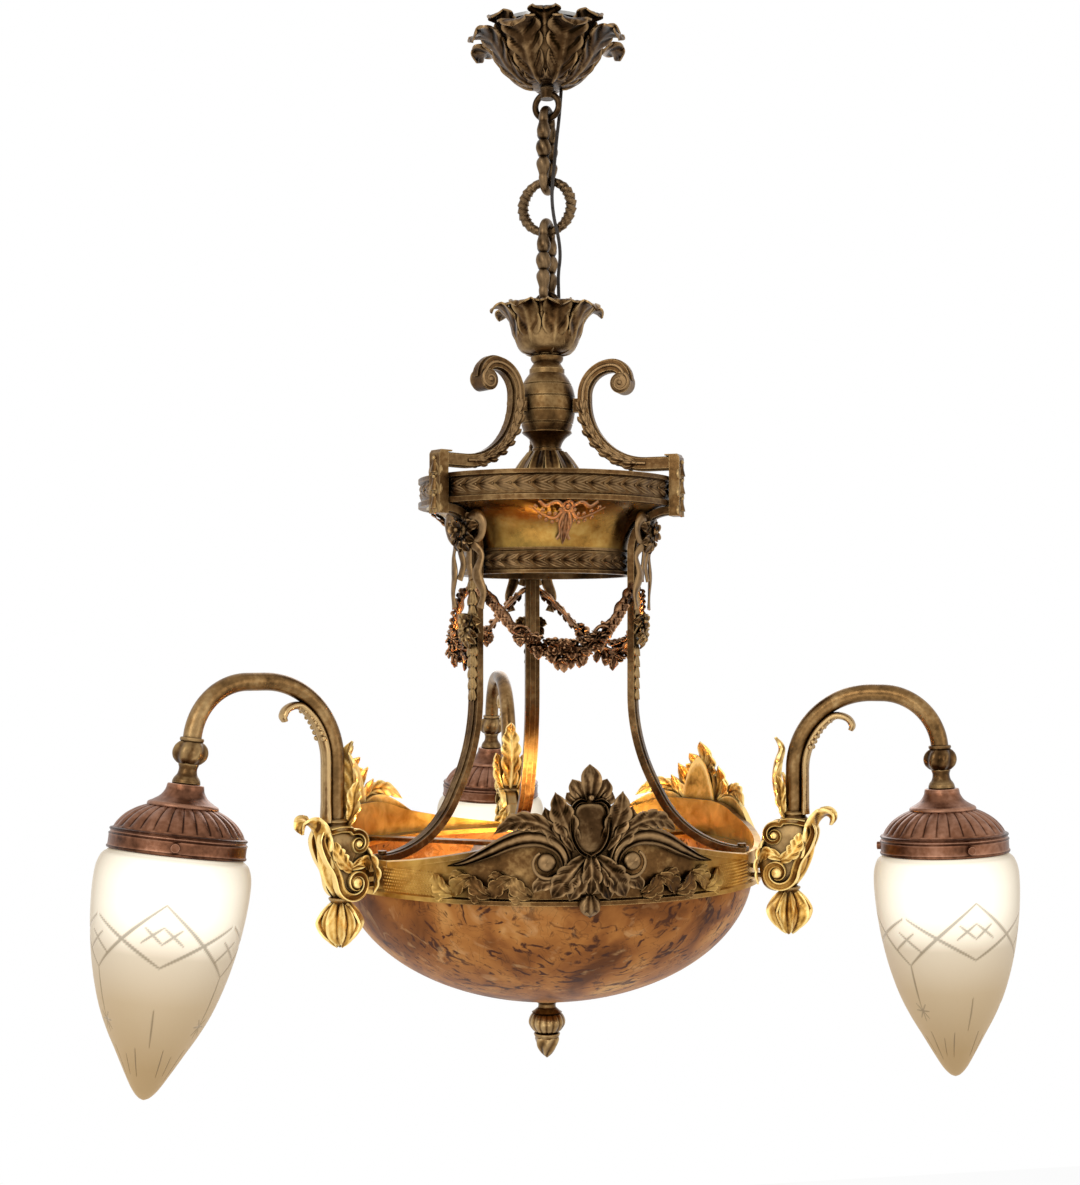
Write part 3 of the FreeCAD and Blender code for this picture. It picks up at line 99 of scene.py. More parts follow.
# ---- The photograph's camera -----------------------------------------------------------------
FOCAL_PIXELS, SENSOR_MM = 1717.0, 36.0
PHOTO_WIDTH, PHOTO_HEIGHT = 1080.0, 1185.0
AXIS_PIXEL_X, HORIZON_PIXEL_Y = 547.0, 645.0
CAMERA_AZIMUTH, CAMERA_DISTANCE, CAMERA_HEIGHT = -10.0, 1511.0, -542.2
FLOOR_HEIGHT, FLOOR_HALF = -1500.0, 1450.0


# ---- Points, lines and surfaces --------------------------------------------------------------
def unit(vectors):
    return vectors / np.maximum(np.linalg.norm(vectors, axis=-1, keepdims=True), 1e-9)


def circle(count):
    """Equal angles round a circle."""
    return np.linspace(0, 2 * np.pi, count, endpoint=False)


def smooth(points, count=40):
    """A smooth line through the points."""
    p = np.array(points, float)
    p = np.vstack([2 * p[0] - p[1], p, 2 * p[-1] - p[-2]])
    t = np.linspace(0, len(points) - 1, count)
    i = np.minimum(t.astype(int), len(points) - 2)
    f = (t - i)[:, None]
    a, b, c, d = p[i], p[i + 1], p[i + 2], p[i + 3]
    return 0.5 * (2 * b + (c - a) * f + (2 * a - 5 * b + 4 * c - d) * f ** 2 + (3 * b - a - 3 * c + d)
        * f ** 3)


def upright(points, count):
    """A smooth line through points of radius and height, in radial space."""
    return smooth([(x, 0, z) for x, z in points], count)


def surface(points, wrap=False):
    """Quads over a closed grid of points, facing outward; wrap joins the last column to the first."""
    rows, cols = points.shape[:2]
    r = np.arange(rows - 1)[:, None]
    c = np.arange(cols if wrap else cols - 1)[None, :]
    n = (c + 1) % cols
    quads = np.stack(np.broadcast_arrays(r * cols + c, r * cols + n, (r + 1) * cols + n,
        (r + 1) * cols + c), -1)
    points, quads = points.reshape(-1, 3), quads.reshape(-1, 4)
    corner = points[quads] - points.mean(0)
    volume = (corner[:, 0] * np.cross(corner[:, 1], corner[:, 2])).sum() + \
        (corner[:, 0] * np.cross(corner[:, 2], corner[:, 3])).sum()
    return points, quads if volume > 0 else quads[:, ::-1]


def joined(shapes):
    """Several shapes as one."""
    points, quads, offset = [], [], 0
    for shape_points, shape_quads in shapes:
        points.append(shape_points)
        quads.append(shape_quads + offset)
        offset += len(shape_points)
    return np.vstack(points), np.vstack(quads)


def frames(path, side=None, normal=None):
    """Across and outward directions along a path, from a steady side or a steady normal."""
    tangent = unit(np.gradient(path, axis=0))
    steady = np.broadcast_to(np.array(side if normal is None else normal, float), path.shape)
    steady = unit(steady - tangent * (steady * tangent).sum(-1, keepdims=True))
    if normal is None:
        return tangent, steady, np.cross(steady, tangent)
    return tangent, np.cross(tangent, steady), steady


def tube(path, radius, sides=10, flat=1.0, side=(0, 1, 0), normal=None):
    """A round or flattened bar along a path, with closed ends."""
    path = np.array(path, float)
    _, across, outward = frames(path, side, normal)
    radius = np.broadcast_to(np.array(radius, float), (len(path),)).copy()
    path = np.vstack([path[:1], path, path[-1:]])
    across = np.vstack([across[:1], across, across[-1:]])
    outward = np.vstack([outward[:1], outward, outward[-1:]])
    radius = np.concatenate([[0.02], radius, [0.02]])[:, None, None]
    angle = circle(sides)[None, :, None]
    ring = np.cos(angle) * across[:, None] + flat * np.sin(angle) * outward[:, None]
    return surface(path[:, None] + radius * ring, wrap=True)


def lathe(profile, count=96, push=None, samples=48):
    """A turned surface from a half outline; push(angle, share) moves it out or in."""
    line = smooth(profile, samples)
    angle = circle(count)[None, :]
    share = np.linspace(0, 1, samples)[:, None]
    radius = np.maximum(line[:, :1] + 0 * angle + (push(angle, share) if push else 0), 0.02)
    height = np.broadcast_to(line[:, 1:2], radius.shape)
    return surface(np.stack([radius * np.cos(angle), radius * np.sin(angle), height], -1), wrap=True)


def strip(path, width, profile, side=(0, 1, 0), normal=None, thick=1.5):
    """A moulded band along a path; profile gives heights at shares of its half width."""
    path = np.array(path, float)
    _, across, outward = frames(path, side, normal)
    half = 0.5 * np.broadcast_to(np.array(width, float), (len(path),))[:, None, None]
    shares, heights = np.array(profile).T
    top = path[:, None] + across[:, None] * half * shares[:, None] + outward[:, None] * heights[:, None]
    under = path[:, None] + across[:, None] * half * shares[:, None] - outward[:, None] * thick
    return surface(np.concatenate([top, under[:, ::-1]], 1), wrap=True)


RIMMED = ((-1, -0.3), (-0.88, 1.9), (-0.66, 2.3), (-0.46, 1.0), (0, 0.4), (0.46, 1.0), (0.66, 2.3),
    (0.88, 1.9), (1, -0.3))
RIDGED = ((-1, -0.3), (-0.9, 1.7), (-0.72, 2.5), (-0.52, 1.1), (-0.3, 2.1), (0, 2.8), (0.3, 2.1),
    (0.52, 1.1), (0.72, 2.5), (0.9, 1.7), (1, -0.3))


def leaf(path, width, lobes=4, depth=0.26, cup=0.2, rib=0.08, vein=0.09, root=0.45, full=0.4, thick=1.4,
        side=(0, 1, 0), normal=None, across=13):
    """An acanthus leaf along a path: scalloped edges, a midrib and a crease from each notch."""
    path = np.array(path, float)
    tangent, aside, outward = frames(path, side, normal)
    t = np.linspace(0, 1, len(path))[:, None]
    w = np.linspace(-1, 1, across)[None, :]
    swell = root + (1 - root) * np.sin(np.pi / 2 * np.clip(t / full, 0, 1))
    taper = np.cos(np.pi / 2 * np.clip((t - full) / (1 - full), 0, 1) ** 1.4)
    scallop = 1 - depth * (1 - np.abs(np.sin(np.pi * (lobes * t + 0.08))) ** 0.7)
    half = 0.5 * width * swell * np.maximum(taper, 0.03) * scallop
    forward = 0.3 * width * w ** 2 * (1 - t) * np.minimum(4 * t, 1)
    crease = np.abs(np.sin(np.pi * (lobes * t + 0.08 + 0.6 * (1 - np.abs(w))))) ** 0.6 - 0.6
    lift = cup * half * np.abs(w) ** 1.7 + rib * width * np.exp(-(w / 0.16) ** 2) * (1 - t)
    lift = lift + vein * width * crease * np.abs(w) ** 0.6 * np.minimum(6 * t, 1) * np.maximum(taper, 0.25)
    top = (path[:, None] + aside[:, None] * (half * w)[..., None] + tangent[:, None] * forward[..., None]
        + outward[:, None] * lift[..., None])
    under = top - outward[:, None] * thick
    return surface(np.concatenate([top, under[:, ::-1]], 1), wrap=True)


def ball(centre, radius, squash=1.0, count=12):
    """A small round boss, flattened along Z by squash."""
    angle = np.linspace(-np.pi / 2, np.pi / 2, 7)
    points, quads = lathe(np.stack([radius * np.cos(angle), radius * squash * np.sin(angle)], -1), count,
        samples=9)
    return points + np.array(centre, float), quads


def flower(centre, radius, petals=5, turn=0.0, cup=0.35, towards=(0, 0, 1)):
    """A small open flower with cupped petals and a round heart."""
    share = np.linspace(0.03, 1, 7)[:, None]
    angle = circle(petals * 8)[None, :]
    wave = np.abs(np.cos(petals / 2 * (angle + turn)))
    reach = radius * share * (1 - 0.42 * share * (1 - wave ** 0.6))
    rise = radius * (cup * share ** 2 * (0.4 + 0.6 * wave) - 0.12 * share * wave)
    disc = np.stack([reach * np.cos(angle), reach * np.sin(angle), rise], -1)
    back = disc - np.array([0, 0, 0.16 * radius])
    points, quads = joined([surface(np.vstack([disc, back[::-1]]), wrap=True),
        ball((0, 0, 0.08 * radius), 0.26 * radius)])
    z = Vector(towards).normalized()
    spin = np.array(z.to_track_quat("Z", "Y").to_matrix())
    return points @ spin.T + np.array(centre, float), quads


def spiral(centre, start_r, end_r, turns, start_angle, way=1, count=40):
    """A flat spiral in the drawing plane, as points of X and Y."""
    t = np.linspace(0, 1, count)
    angle = math.radians(start_angle) + way * 2 * np.pi * turns * t
    radius = start_r * (end_r / start_r) ** t
    return np.stack([centre[0] + radius * np.cos(angle), centre[1] + radius * np.sin(angle)], -1)


def arc(centre, radius, first, last, count):
    """Points of X and Y along an arc, from one angle in degrees to another."""
    a = np.radians(np.linspace(first, last, count))
    return np.stack([centre[0] + radius * np.cos(a), centre[1] + radius * np.sin(a)], -1)


def raised(line, height=0.0):
    """Gives a line of X and Y a steady or changing height Z."""
    return np.column_stack([line, np.broadcast_to(np.array(height, float), (len(line),))])


# ---- Moving shapes ---------------------------------------------------------------------------
def turned_to(shape, azimuth):
    points, quads = shape
    a = math.radians(azimuth - 90)
    spin = np.array([[math.cos(a), -math.sin(a), 0], [math.sin(a), math.cos(a), 0], [0, 0, 1]])
    return points @ spin.T, quads


def wrapped(shape, radius, azimuth, height):
    """Bends a flat drawing round a cylinder; radius may change with the height."""
    points, quads = shape
    z = height + points[:, 1]
    base = radius(z) if callable(radius) else radius
    a = math.radians(azimuth) + points[:, 0] / (radius(height) if callable(radius) else radius)
    reach = base + points[:, 2]
    return np.stack([reach * np.sin(a), -reach * np.cos(a), z], -1), quads


def mirrored(shape):
    """The shape and its mirror image across X = 0, for flat drawings."""
    points, quads = shape
    return joined([shape, (points * np.array([-1, 1, 1]), quads[:, ::-1])])


def both_sides(shape):
    """The shape and its mirror image across Y = 0, for radial drawings."""
    points, quads = shape
    return joined([shape, (points * np.array([1, -1, 1]), quads[:, ::-1])])


def stood_up(shape):
    """A flat drawing stood in the radial plane: X becomes the radius, Y the height, Z the tangent."""
    points, quads = shape
    return np.stack([points[:, 0], -points[:, 2], points[:, 1]], -1), quads


def lamp_turn(name):
    """Rotation and place of a lamp, in the radial drawing space."""
    reach, height, lean = LAMPS[name]
    a = math.radians(lean)
    spin = np.array([[math.cos(a), 0, -math.sin(a)], [0, 1, 0], [math.sin(a), 0, math.cos(a)]])
    return spin, np.array([reach, 0, RING_TOP + height])


def hung(shape, name):
    spin, place = lamp_turn(name)
    return turned_to((shape[0] @ spin.T + place, shape[1]), ARM_AZIMUTHS[name])


def set_out(shape, distance):
    """Moves a radial drawing outward."""
    return shape[0] + np.array([distance, 0, 0]), shape[1]


def at_all(shape, azimuths):
    return joined([turned_to(shape, azimuth) for azimuth in azimuths])


# ---- Materials -------------------------------------------------------------------------------
def add(tree, kind, links=None, **values):
    """Adds a node. Links feed its inputs; other values are settings or input numbers."""
    node = tree.nodes.new("ShaderNode" + kind)
    for key, value in values.items():
        setattr(node, key, value)
    for key, value in (links or {}).items():
        if isinstance(value, bpy.types.NodeSocket):
            tree.links.new(value, node.inputs[key])
        else:
            node.inputs[key].default_value = value
    return node


def calc(tree, operation, *values):
    """One step of arithmetic between sockets and numbers."""
    return add(tree, "Math", dict(enumerate(values)), operation=operation).outputs[0]


def ramp(tree, factor, *stops):
    """A colour ramp from (position, colour) stops."""
    node = add(tree, "ValToRGB", {"Fac": factor})
    elements = node.color_ramp.elements
    while len(elements) < len(stops):
        elements.new(0.5)
    for element, (position, colour) in zip(elements, stops):
        element.position = position
        element.color = (*colour, 1)
    return node.outputs["Color"]


def noise(tree, scale, detail=4.0, distortion=0.0, place=None):
    links = {"Scale": scale, "Detail": detail, "Distortion": distortion}
    if place is not None:
        links["Vector"] = place
    return add(tree, "TexNoise", links).outputs["Fac"]


def mix(tree, factor, a, b, blend="MIX"):
    node = add(tree, "Mix", data_type="RGBA", blend_type=blend)
    for key, value in ((0, factor), (6, a), (7, b)):
        if isinstance(value, bpy.types.NodeSocket):
            tree.links.new(value, node.inputs[key])
        else:
            node.inputs[key].default_value = value if key == 0 else (*value, 1)
    return node.outputs[2]


def scaled(tree, value, low, high, to_low, to_high):
    node = add(tree, "MapRange", {"Value": value, "From Min": low, "From Max": high, "To Min": to_low,
        "To Max": to_high})
    return node.outputs["Result"]


def new_material(name):
    material = bpy.data.materials.new(name)
    material.use_nodes = True
    tree = material.node_tree
    place = add(tree, "TexCoord").outputs["Object"]
    return material, tree, tree.nodes["Principled BSDF"], place


def feed(tree, shader, **inputs):
    for key, value in inputs.items():
        socket = shader.inputs[key.replace("_", " ")]
        if isinstance(value, bpy.types.NodeSocket):
            tree.links.new(value, socket)
        else:
            socket.default_value = value


def bumped(tree, shader, height, strength=0.3, distance=0.0008):
    node = add(tree, "Bump", {"Height": height, "Strength": strength, "Distance": distance})
    feed(tree, shader, Normal=node.outputs["Normal"])


def metal(name, deep, body, bright, shine=0.36, grain=0.25, tint=None, glow=0.0, carved=True):
    """Old cast or spun metal: dark in its hollows, partly patina and partly painted shade, worn bright on its
    edges, mottled over all.
    """
    material, tree, shader, place = new_material(name)
    colour, rough, speck = patina_and_shade(tree, place, deep, body, bright, shine, carved)
    if tint:
        colour = mix(tree, scaled(tree, noise(tree, 9, 3, 0.3, place), 0.42, 0.66, 0.0, 0.8), colour, tint)
    feed(tree, shader, Base_Color=colour, Metallic=1.0, Roughness=rough)
    # A glow paints light into the metal as a faint emission.
    if glow:
        feed(tree, shader, Emission_Color=colour, Emission_Strength=glow)
    bumped(tree, shader, speck, grain)
    return material


def edge_wear_and_crease_shade(tree, carved):
    """About 0.37 on open faces and more on worn edges: from a fine mesh, else from rounded corners. On a fine
    mesh it is lower in creases, partly patina and partly painted shade.
    """
    geometry = add(tree, "NewGeometry")
    if carved:
        return scaled(tree, geometry.outputs["Pointiness"], 0.47, 0.55, 0.0, 1.0)
    rounded = add(tree, "Bevel", {"Radius": 0.0012}, samples=4).outputs["Normal"]
    turn = add(tree, "VectorMath", {0: rounded, 1: geometry.outputs["Normal"]}, operation="DOT_PRODUCT")
    return scaled(tree, turn.outputs["Value"], 0.995, 0.8, 0.37, 0.9)


def patina_and_shade(tree, place, deep, body, bright, shine, carved=True):
    """Colour, roughness and fine grain of old metal; ambient occlusion darkens the hollows, partly patina and
    partly painted shade.
    """
    hollow = add(tree, "AmbientOcclusion", {"Distance": 0.007}, samples=6).outputs["AO"]
    blotch = noise(tree, 26, 6, 0.8, place)
    speck = noise(tree, 260, 3, 0.0, place)
    level = calc(tree, "ADD", edge_wear_and_crease_shade(tree, carved), scaled(tree, blotch, 0.3, 0.7, -0.26, 0.26))
    level = calc(tree, "ADD", level, scaled(tree, speck, 0.3, 0.7, -0.1, 0.1))
    colour = ramp(tree, level, (0.0, deep), (0.38, body), (0.85, bright))
    # Painted shade with patina: occluded hollows and creases go towards the deep colour.
    colour = mix(tree, scaled(tree, hollow, 0.25, 0.9, 0.0, 1.0), deep, colour)
    return colour, scaled(tree, blotch, 0.3, 0.7, shine - 0.08, shine + 0.14), speck


def ring_material():
    """The bowl ring: dark round the cartouches, with painted lamp light in gold near the brackets and a
    painted glow from the bowl's bulbs brightest on its inner faces.
    """
    material, tree, shader, place = new_material("ring_brass")
    dark, rough, speck = patina_and_shade(tree, place, (0.02, 0.009, 0.003), (0.115, 0.055, 0.018),
        (0.48, 0.29, 0.11), 0.36, carved=False)
    axes = add(tree, "SeparateXYZ", {0: place})
    azimuth = calc(tree, "ARCTAN2", axes.outputs["X"], axes.outputs["Y"])
    wave = calc(tree, "COSINE", calc(tree, "MULTIPLY", azimuth, 3.0))
    # Painted lamp light: gold where the lamps hang near the brackets.
    near = scaled(tree, wave, -0.1, 0.85, 0.0, 1.0)
    flat = add(tree, "VectorMath", {0: place, 1: (1, 1, 0)}, operation="MULTIPLY").outputs[0]
    facing = add(tree, "VectorMath", {0: add(tree, "NewGeometry").outputs["True Normal"],
        1: add(tree, "VectorMath", {0: flat}, operation="NORMALIZE").outputs[0]},
        operation="DOT_PRODUCT").outputs["Value"]
    # Painted glow of the bowl's bulbs on the inner faces.
    inside = scaled(tree, facing, -0.2, -0.6, 0.0, 1.0)
    lamp_lit_gold = ramp(tree, noise(tree, 60, 5, 0.5, place), (0.3, (0.50, 0.25, 0.045)), (0.7, (0.90, 0.58, 0.16)))
    colour = mix(tree, scaled(tree, near, 0, 1, 0.0, 0.85), dark, lamp_lit_gold)
    colour = mix(tree, inside, colour, lamp_lit_gold)
    feed(tree, shader, Base_Color=colour, Metallic=1.0, Roughness=rough)
    bumped(tree, shader, speck, 0.25)
    return material


def alabaster_material():
    """Warm stone with soft clouds and dark feathery flecks; an emission of its own colour paints the glow of
    the bulbs inside.
    """
    material, tree, shader, place = new_material("alabaster")
    cloud = noise(tree, 16, 4, 0.8, place)
    colour = ramp(tree, cloud, (0.32, (0.115, 0.038, 0.011)), (0.45, (0.265, 0.094, 0.024)),
        (0.56, (0.40, 0.16, 0.040)), (0.70, (0.60, 0.31, 0.10)))
    slanted = add(tree, "Mapping", {"Vector": place, "Rotation": (0.5, 0.4, 0.6),
        "Scale": (1.0, 2.4, 1.5)}).outputs[0]
    where = scaled(tree, noise(tree, 11, 2, 0.4, place), 0.37, 0.55, 0.0, 1.0)
    fleck = scaled(tree, noise(tree, 52, 5, 1.6, slanted), 0.55, 0.63, 0.0, 0.95)
    fleck = calc(tree, "MULTIPLY", fleck, where)
    colour = mix(tree, fleck, colour, (0.055, 0.020, 0.012))
    pale = scaled(tree, noise(tree, 34, 4, 1.0, slanted), 0.58, 0.72, 0.0, 0.5)
    colour = mix(tree, pale, colour, (0.62, 0.36, 0.16))
    vein = calc(tree, "ABSOLUTE", calc(tree, "SUBTRACT", noise(tree, 17, 9, 3.0, place), 0.5))
    vein = scaled(tree, vein, 0.0, 0.012, 0.5, 0.0)
    colour = mix(tree, vein, colour, (0.06, 0.024, 0.012))
    feed(tree, shader, Base_Color=colour, Roughness=0.4, Emission_Color=colour, Emission_Strength=0.22,
        Specular_IOR_Level=0.06)
    bumped(tree, shader, cloud, 0.1)
    return material


def glass_material():
    """Frosted glass that glows near its bulb, with cut lines that are clearer and darker."""
    material, tree, shader, place = new_material("frosted_glass")
    glow = add(tree, "Attribute", attribute_name="glow").outputs["Fac"]
    cut = add(tree, "Attribute", attribute_name="cut").outputs["Fac"]
    grain = noise(tree, 900, 2, 0.0, place)
    base = ramp(tree, glow, (0.0, (0.50, 0.335, 0.16)), (0.55, (0.56, 0.425, 0.265)),
        (1.0, (0.7, 0.64, 0.54)))
    base = mix(tree, scaled(tree, cut, 0, 1, 0, 0.8), base, (0.20, 0.14, 0.07))
    warm = ramp(tree, glow, (0.0, (0.03, 0.02, 0.01)), (0.55, (0.14, 0.105, 0.06)),
        (0.85, (0.26, 0.205, 0.13)), (1.0, (0.9, 0.84, 0.7)))
    warm = mix(tree, scaled(tree, cut, 0, 1, 0, 0.5), warm, (0.0, 0.0, 0.0))
    facing = add(tree, "LayerWeight", {"Blend": 0.5}).outputs["Facing"]
    warm = mix(tree, scaled(tree, facing, 0.15, 0.75, 0.0, 0.9), warm, (0.15, 0.10, 0.045))
    feed(tree, shader, Base_Color=base, Roughness=scaled(tree, cut, 0, 1, 0.5, 0.1), Emission_Color=warm,
        Emission_Strength=1.0, IOR=1.48)
    bumped(tree, shader, grain, 0.12, 0.0003)
    return material


def plain(name, colour, rough, metallic=0.0, glow=0.0, grain=0.1):
    """A simple finish with fine grain and slight mottling."""
    material, tree, shader, place = new_material(name)
    mottle = noise(tree, 60, 4, 0.0, place)
    darker = tuple(0.82 * c for c in colour)
    base = ramp(tree, mottle, (0.35, darker), (0.65, colour))
    feed(tree, shader, Base_Color=base, Roughness=scaled(tree, mottle, 0.3, 0.7, rough - 0.05,
        rough + 0.05), Metallic=metallic)
    if glow:
        feed(tree, shader, Emission_Color=(*colour, 1), Emission_Strength=glow)
    bumped(tree, shader, noise(tree, 500, 2, 0.0, place), grain, 0.0003)
    return material


OLD_METALS = {
    "chain_bronze": ((0.006, 0.003, 0.001), (0.045, 0.024, 0.010), (0.19, 0.12, 0.06)),
    "dark_bronze": ((0.008, 0.004, 0.001), (0.062, 0.031, 0.012), (0.27, 0.165, 0.075)),
    "garland_bronze": ((0.010, 0.004, 0.002), (0.125, 0.057, 0.026), (0.44, 0.24, 0.12)),
    "mid_bronze": ((0.013, 0.006, 0.002), (0.105, 0.053, 0.019), (0.36, 0.23, 0.10)),
    "aged_brass": ((0.018, 0.008, 0.003), (0.135, 0.070, 0.024), (0.40, 0.26, 0.11)),
    # The next row is a lighter copy of aged brass: painted light for the finial and the arms.
    "lit_brass": ((0.020, 0.009, 0.003), (0.215, 0.118, 0.043), (0.52, 0.35, 0.16)),
    "copper": ((0.035, 0.013, 0.007), (0.20, 0.085, 0.045), (0.42, 0.22, 0.14)),
}
SHINES = {"lit_brass": 0.3, "copper": 0.34}
WITH_PLAIN_TWIN = ("chain_bronze", "mid_bronze", "aged_brass", "lit_brass", "copper")
MATERIALS = {
    "bright_brass": metal("bright_brass", (0.09, 0.036, 0.007), (0.32, 0.155, 0.032), (0.52, 0.34, 0.10),
                          shine=0.26, grain=0.08, tint=(0.36, 0.25, 0.06), carved=False),
    # This brighter brass with a faint glow is painted light: lamp light on the brackets and arm flames, and
    # the glow of the bowl's bulbs on the back cartouches and the ring.
    "lamp_lit_gold": metal("lamp_lit_gold", (0.10, 0.038, 0.007), (0.62, 0.34, 0.075), (0.95, 0.70, 0.27), glow=0.1),
    "ring_brass": ring_material(),
    "steel": plain("steel", (0.42, 0.41, 0.39), 0.35, metallic=1.0),
    "porcelain": plain("porcelain", (0.82, 0.79, 0.72), 0.2),
    "bulb_glass": plain("bulb_glass", (1.0, 0.90, 0.70), 0.3, glow=2.0),
    "lead_sleeve": plain("lead_sleeve", (0.035, 0.026, 0.02), 0.55),
    "alabaster": alabaster_material(),
    "frosted_glass": glass_material(),
}
for metal_name, colours in OLD_METALS.items():
    gloss = SHINES.get(metal_name, 0.36)
    MATERIALS[metal_name] = metal(metal_name, *colours, shine=gloss)
    if metal_name in WITH_PLAIN_TWIN:
        twin_name = metal_name + "_plain"
        MATERIALS[twin_name] = metal(twin_name, *colours, shine=gloss, carved=False)


# ---- Making pieces ---------------------------------------------------------------------------
def placed(name, data):
    """Puts data into the scene as an object."""
    item = bpy.data.objects.new(name, data)
    bpy.context.scene.collection.objects.link(item)
    return item


def mesh_from(name, shape):
    points, quads = shape
    mesh = bpy.data.meshes.new(name)
    mesh.vertices.add(len(points))
    mesh.vertices.foreach_set("co", (points * MM).astype(np.float32).ravel())
    mesh.loops.add(quads.size)
    mesh.loops.foreach_set("vertex_index", quads.astype(np.int32).ravel())
    mesh.polygons.add(len(quads))
    mesh.polygons.foreach_set("loop_start", np.arange(0, quads.size, 4, dtype=np.int32))
    mesh.update(calc_edges=True)
    mesh.validate()
    mesh.shade_smooth()
    mesh.set_sharp_from_angle(angle=math.radians(DRAWN_SHARP_DEGREES))
    return mesh


def piece(name, shape, finish, body="pendant", replaces=()):
    """Makes a drawn shape a piece of the light, in its finish and on its body."""
    item = placed(name, mesh_from(name, shape))
    item.data.materials.append(MATERIALS[finish])
    if body:
        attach(item, body)
    if replaces:
        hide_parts(*replaces)
    return item


def dress(finish, *nodes):
    """Gives CAD pieces their finish and smooth shading."""
    for name in nodes:
        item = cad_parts[name]
        item.data.materials.clear()
        item.data.materials.append(MATERIALS[finish])
        item.data.shade_smooth()
        item.data.set_sharp_from_angle(angle=math.radians(CAD_SHARP_DEGREES))


# ---- Canopy, chain and stem ------------------------------------------------------------------
def leaf_crown(outline, count, width, lobes, first, **more):
    """Equal leaves round an axis, each one along the same side outline."""
    line = upright(outline, 14 + 9 * lobes)
    one = leaf(line, width, lobes, **more)
    return joined([turned_to(one, first + 360.0 * number / count) for number in range(count)])


def canopy():
    z = CANOPY_FOOT
    dish = lathe([(4.4, z + 0.3), (13, z + 0.5), (20, z + 2.2), (31, z + 9), (39, z + 17), (45, z + 28),
        (43.5, z + 28), (37, z + 17.5), (29, z + 10.5), (16, z + 3), (4.4, z + 2.4)], samples=110,
        push=lambda a, t: 0.5 * np.sin(110 * t) * (np.abs(t - 0.2) < 0.085))
    outer = leaf_crown([(14, z + 0.6), (21.5, z + 2.6), (31.6, z + 9.2), (40, z + 18), (46, z + 28),
        (53, z + 36), (61, z + 39), (67.5, z + 36), (68.2, z + 31)], 8, 37, 6, 10, depth=0.24, cup=-0.08,
        rib=0.05, vein=0.075, root=0.4, full=0.62, thick=1.5, across=17)
    inner = leaf_crown([(29, z + 9.5), (38, z + 19), (43.2, z + 29), (47.5, z + 39), (53, z + 46.5),
        (59.5, z + 48.8), (64, z + 45)], 8, 30, 5, 32.5, depth=0.26, cup=-0.1, vein=0.08, root=0.6,
        full=0.55, thick=1.5, across=15)
    piece("canopy_leaves", joined([dish, outer, inner]), "dark_bronze", "ceiling_mount", ["ceiling_canopy"])


def leaf_cup():
    z = CUP_FOOT
    floor = lathe([(4.3, z + 4), (20, z + 4), (26, z + 14), (28, z + 20), (29.4, z + 20), (28, z + 12),
        (23, z + 3), (13, z), (4.3, z)])
    outer = leaf_crown([(13, z + 0.4), (21.5, z + 3.6), (27.8, z + 13), (30.8, z + 23), (35, z + 32),
        (41.5, z + 38.6), (47.2, z + 38.6), (49.4, z + 34)], 8, 25.5, 4, 4, depth=0.2, cup=-0.12, rib=0.07,
        vein=0.07, root=0.62, full=0.6, thick=1.6, across=15)
    inner = leaf_crown([(23, z + 7), (27.4, z + 18), (30.5, z + 29), (34.5, z + 37), (39, z + 40.6),
        (42.5, z + 39)], 8, 19, 3, 26.5, depth=0.2, cup=-0.12, root=0.7, full=0.55, thick=1.5)
    piece("stem_leaf_cup", joined([floor, outer, inner]), "mid_bronze", replaces=["top_leaf_cup"])


def chain_link(name, node, body, top):
    """A link whose legs are cast as knuckled buds."""
    centre = bend = LINK_HALF
    pitch = LINK_PITCH
    t = np.linspace(0, np.pi, 15)
    upper = np.stack([-centre * np.cos(t), 0 * t, top - bend + centre * np.sin(t)], -1)
    lower = np.stack([centre * np.cos(t), 0 * t, top - pitch + bend - centre * np.sin(t)], -1)
    down = np.linspace(top - bend, top - pitch + bend, 60)[1:-1]
    right = np.stack([np.full(58, centre), 0 * down, down], -1)
    left = np.stack([np.full(58, -centre), 0 * down, down[::-1]], -1)
    path = np.vstack([upper, right, lower, left])
    height = path[:, 2] - (top - pitch / 2)
    knuckle = np.abs(np.cos(np.pi * height / KNUCKLE_PITCH)) ** 0.7
    reach = np.clip(1.6 - np.abs(height) / 18, 0, 1)
    radius = (4.0 - 0.4 * reach + 2.9 * knuckle * reach)[:, None, None]
    _, across, outward = frames(np.vstack([path, path[:2]]), side=(0, 1, 0))
    across, outward = across[: len(path)], outward[: len(path)]
    angle = circle(20)[None, :, None]
    ring = np.cos(angle) * across[:, None] + np.sin(angle) * outward[:, None]
    groove = 1 + 0.07 * reach[:, None, None] * np.cos(5 * angle + 0.35 * height[:, None, None])
    points = path[:, None] + radius * groove * ring
    shape = surface(np.vstack([points, points[:1]]), wrap=True)
    piece(name, turned_to(shape, CHAIN_AZIMUTH), "chain_bronze", body, [node])


def wreath_ring(name, node, body, middle, ring_r, leaves):
    """A ring wound with small leaves, plain where the links hang in it."""
    a = np.linspace(0, 2 * np.pi, 241)
    path = np.stack([ring_r * np.cos(a), 0 * a, middle + ring_r * np.sin(a)], -1)
    outward = np.stack([np.cos(a), 0 * a, np.sin(a)], -1)
    angle = circle(16)
    points = []
    for here, out, turn in zip(path, outward, a):
        lap = (leaves * turn / (2 * np.pi) + 0.45 * np.cos(angle)) % 1.0
        open_side = np.clip((abs(math.cos(turn)) - 0.5) / 0.4, 0, 1)
        radius = 3.55 + 0.45 * lap ** 1.5 + open_side * (0.5 + 0.9 * lap ** 1.5)
        points.append(here + radius[:, None] * (np.cos(angle)[:, None] * out + np.sin(angle)[:, None]
            * (0, 1.0, 0)))
    shape = surface(np.array(points), wrap=True)
    piece(name, turned_to(shape, CHAIN_AZIMUTH + 90), "chain_bronze", body, [node])


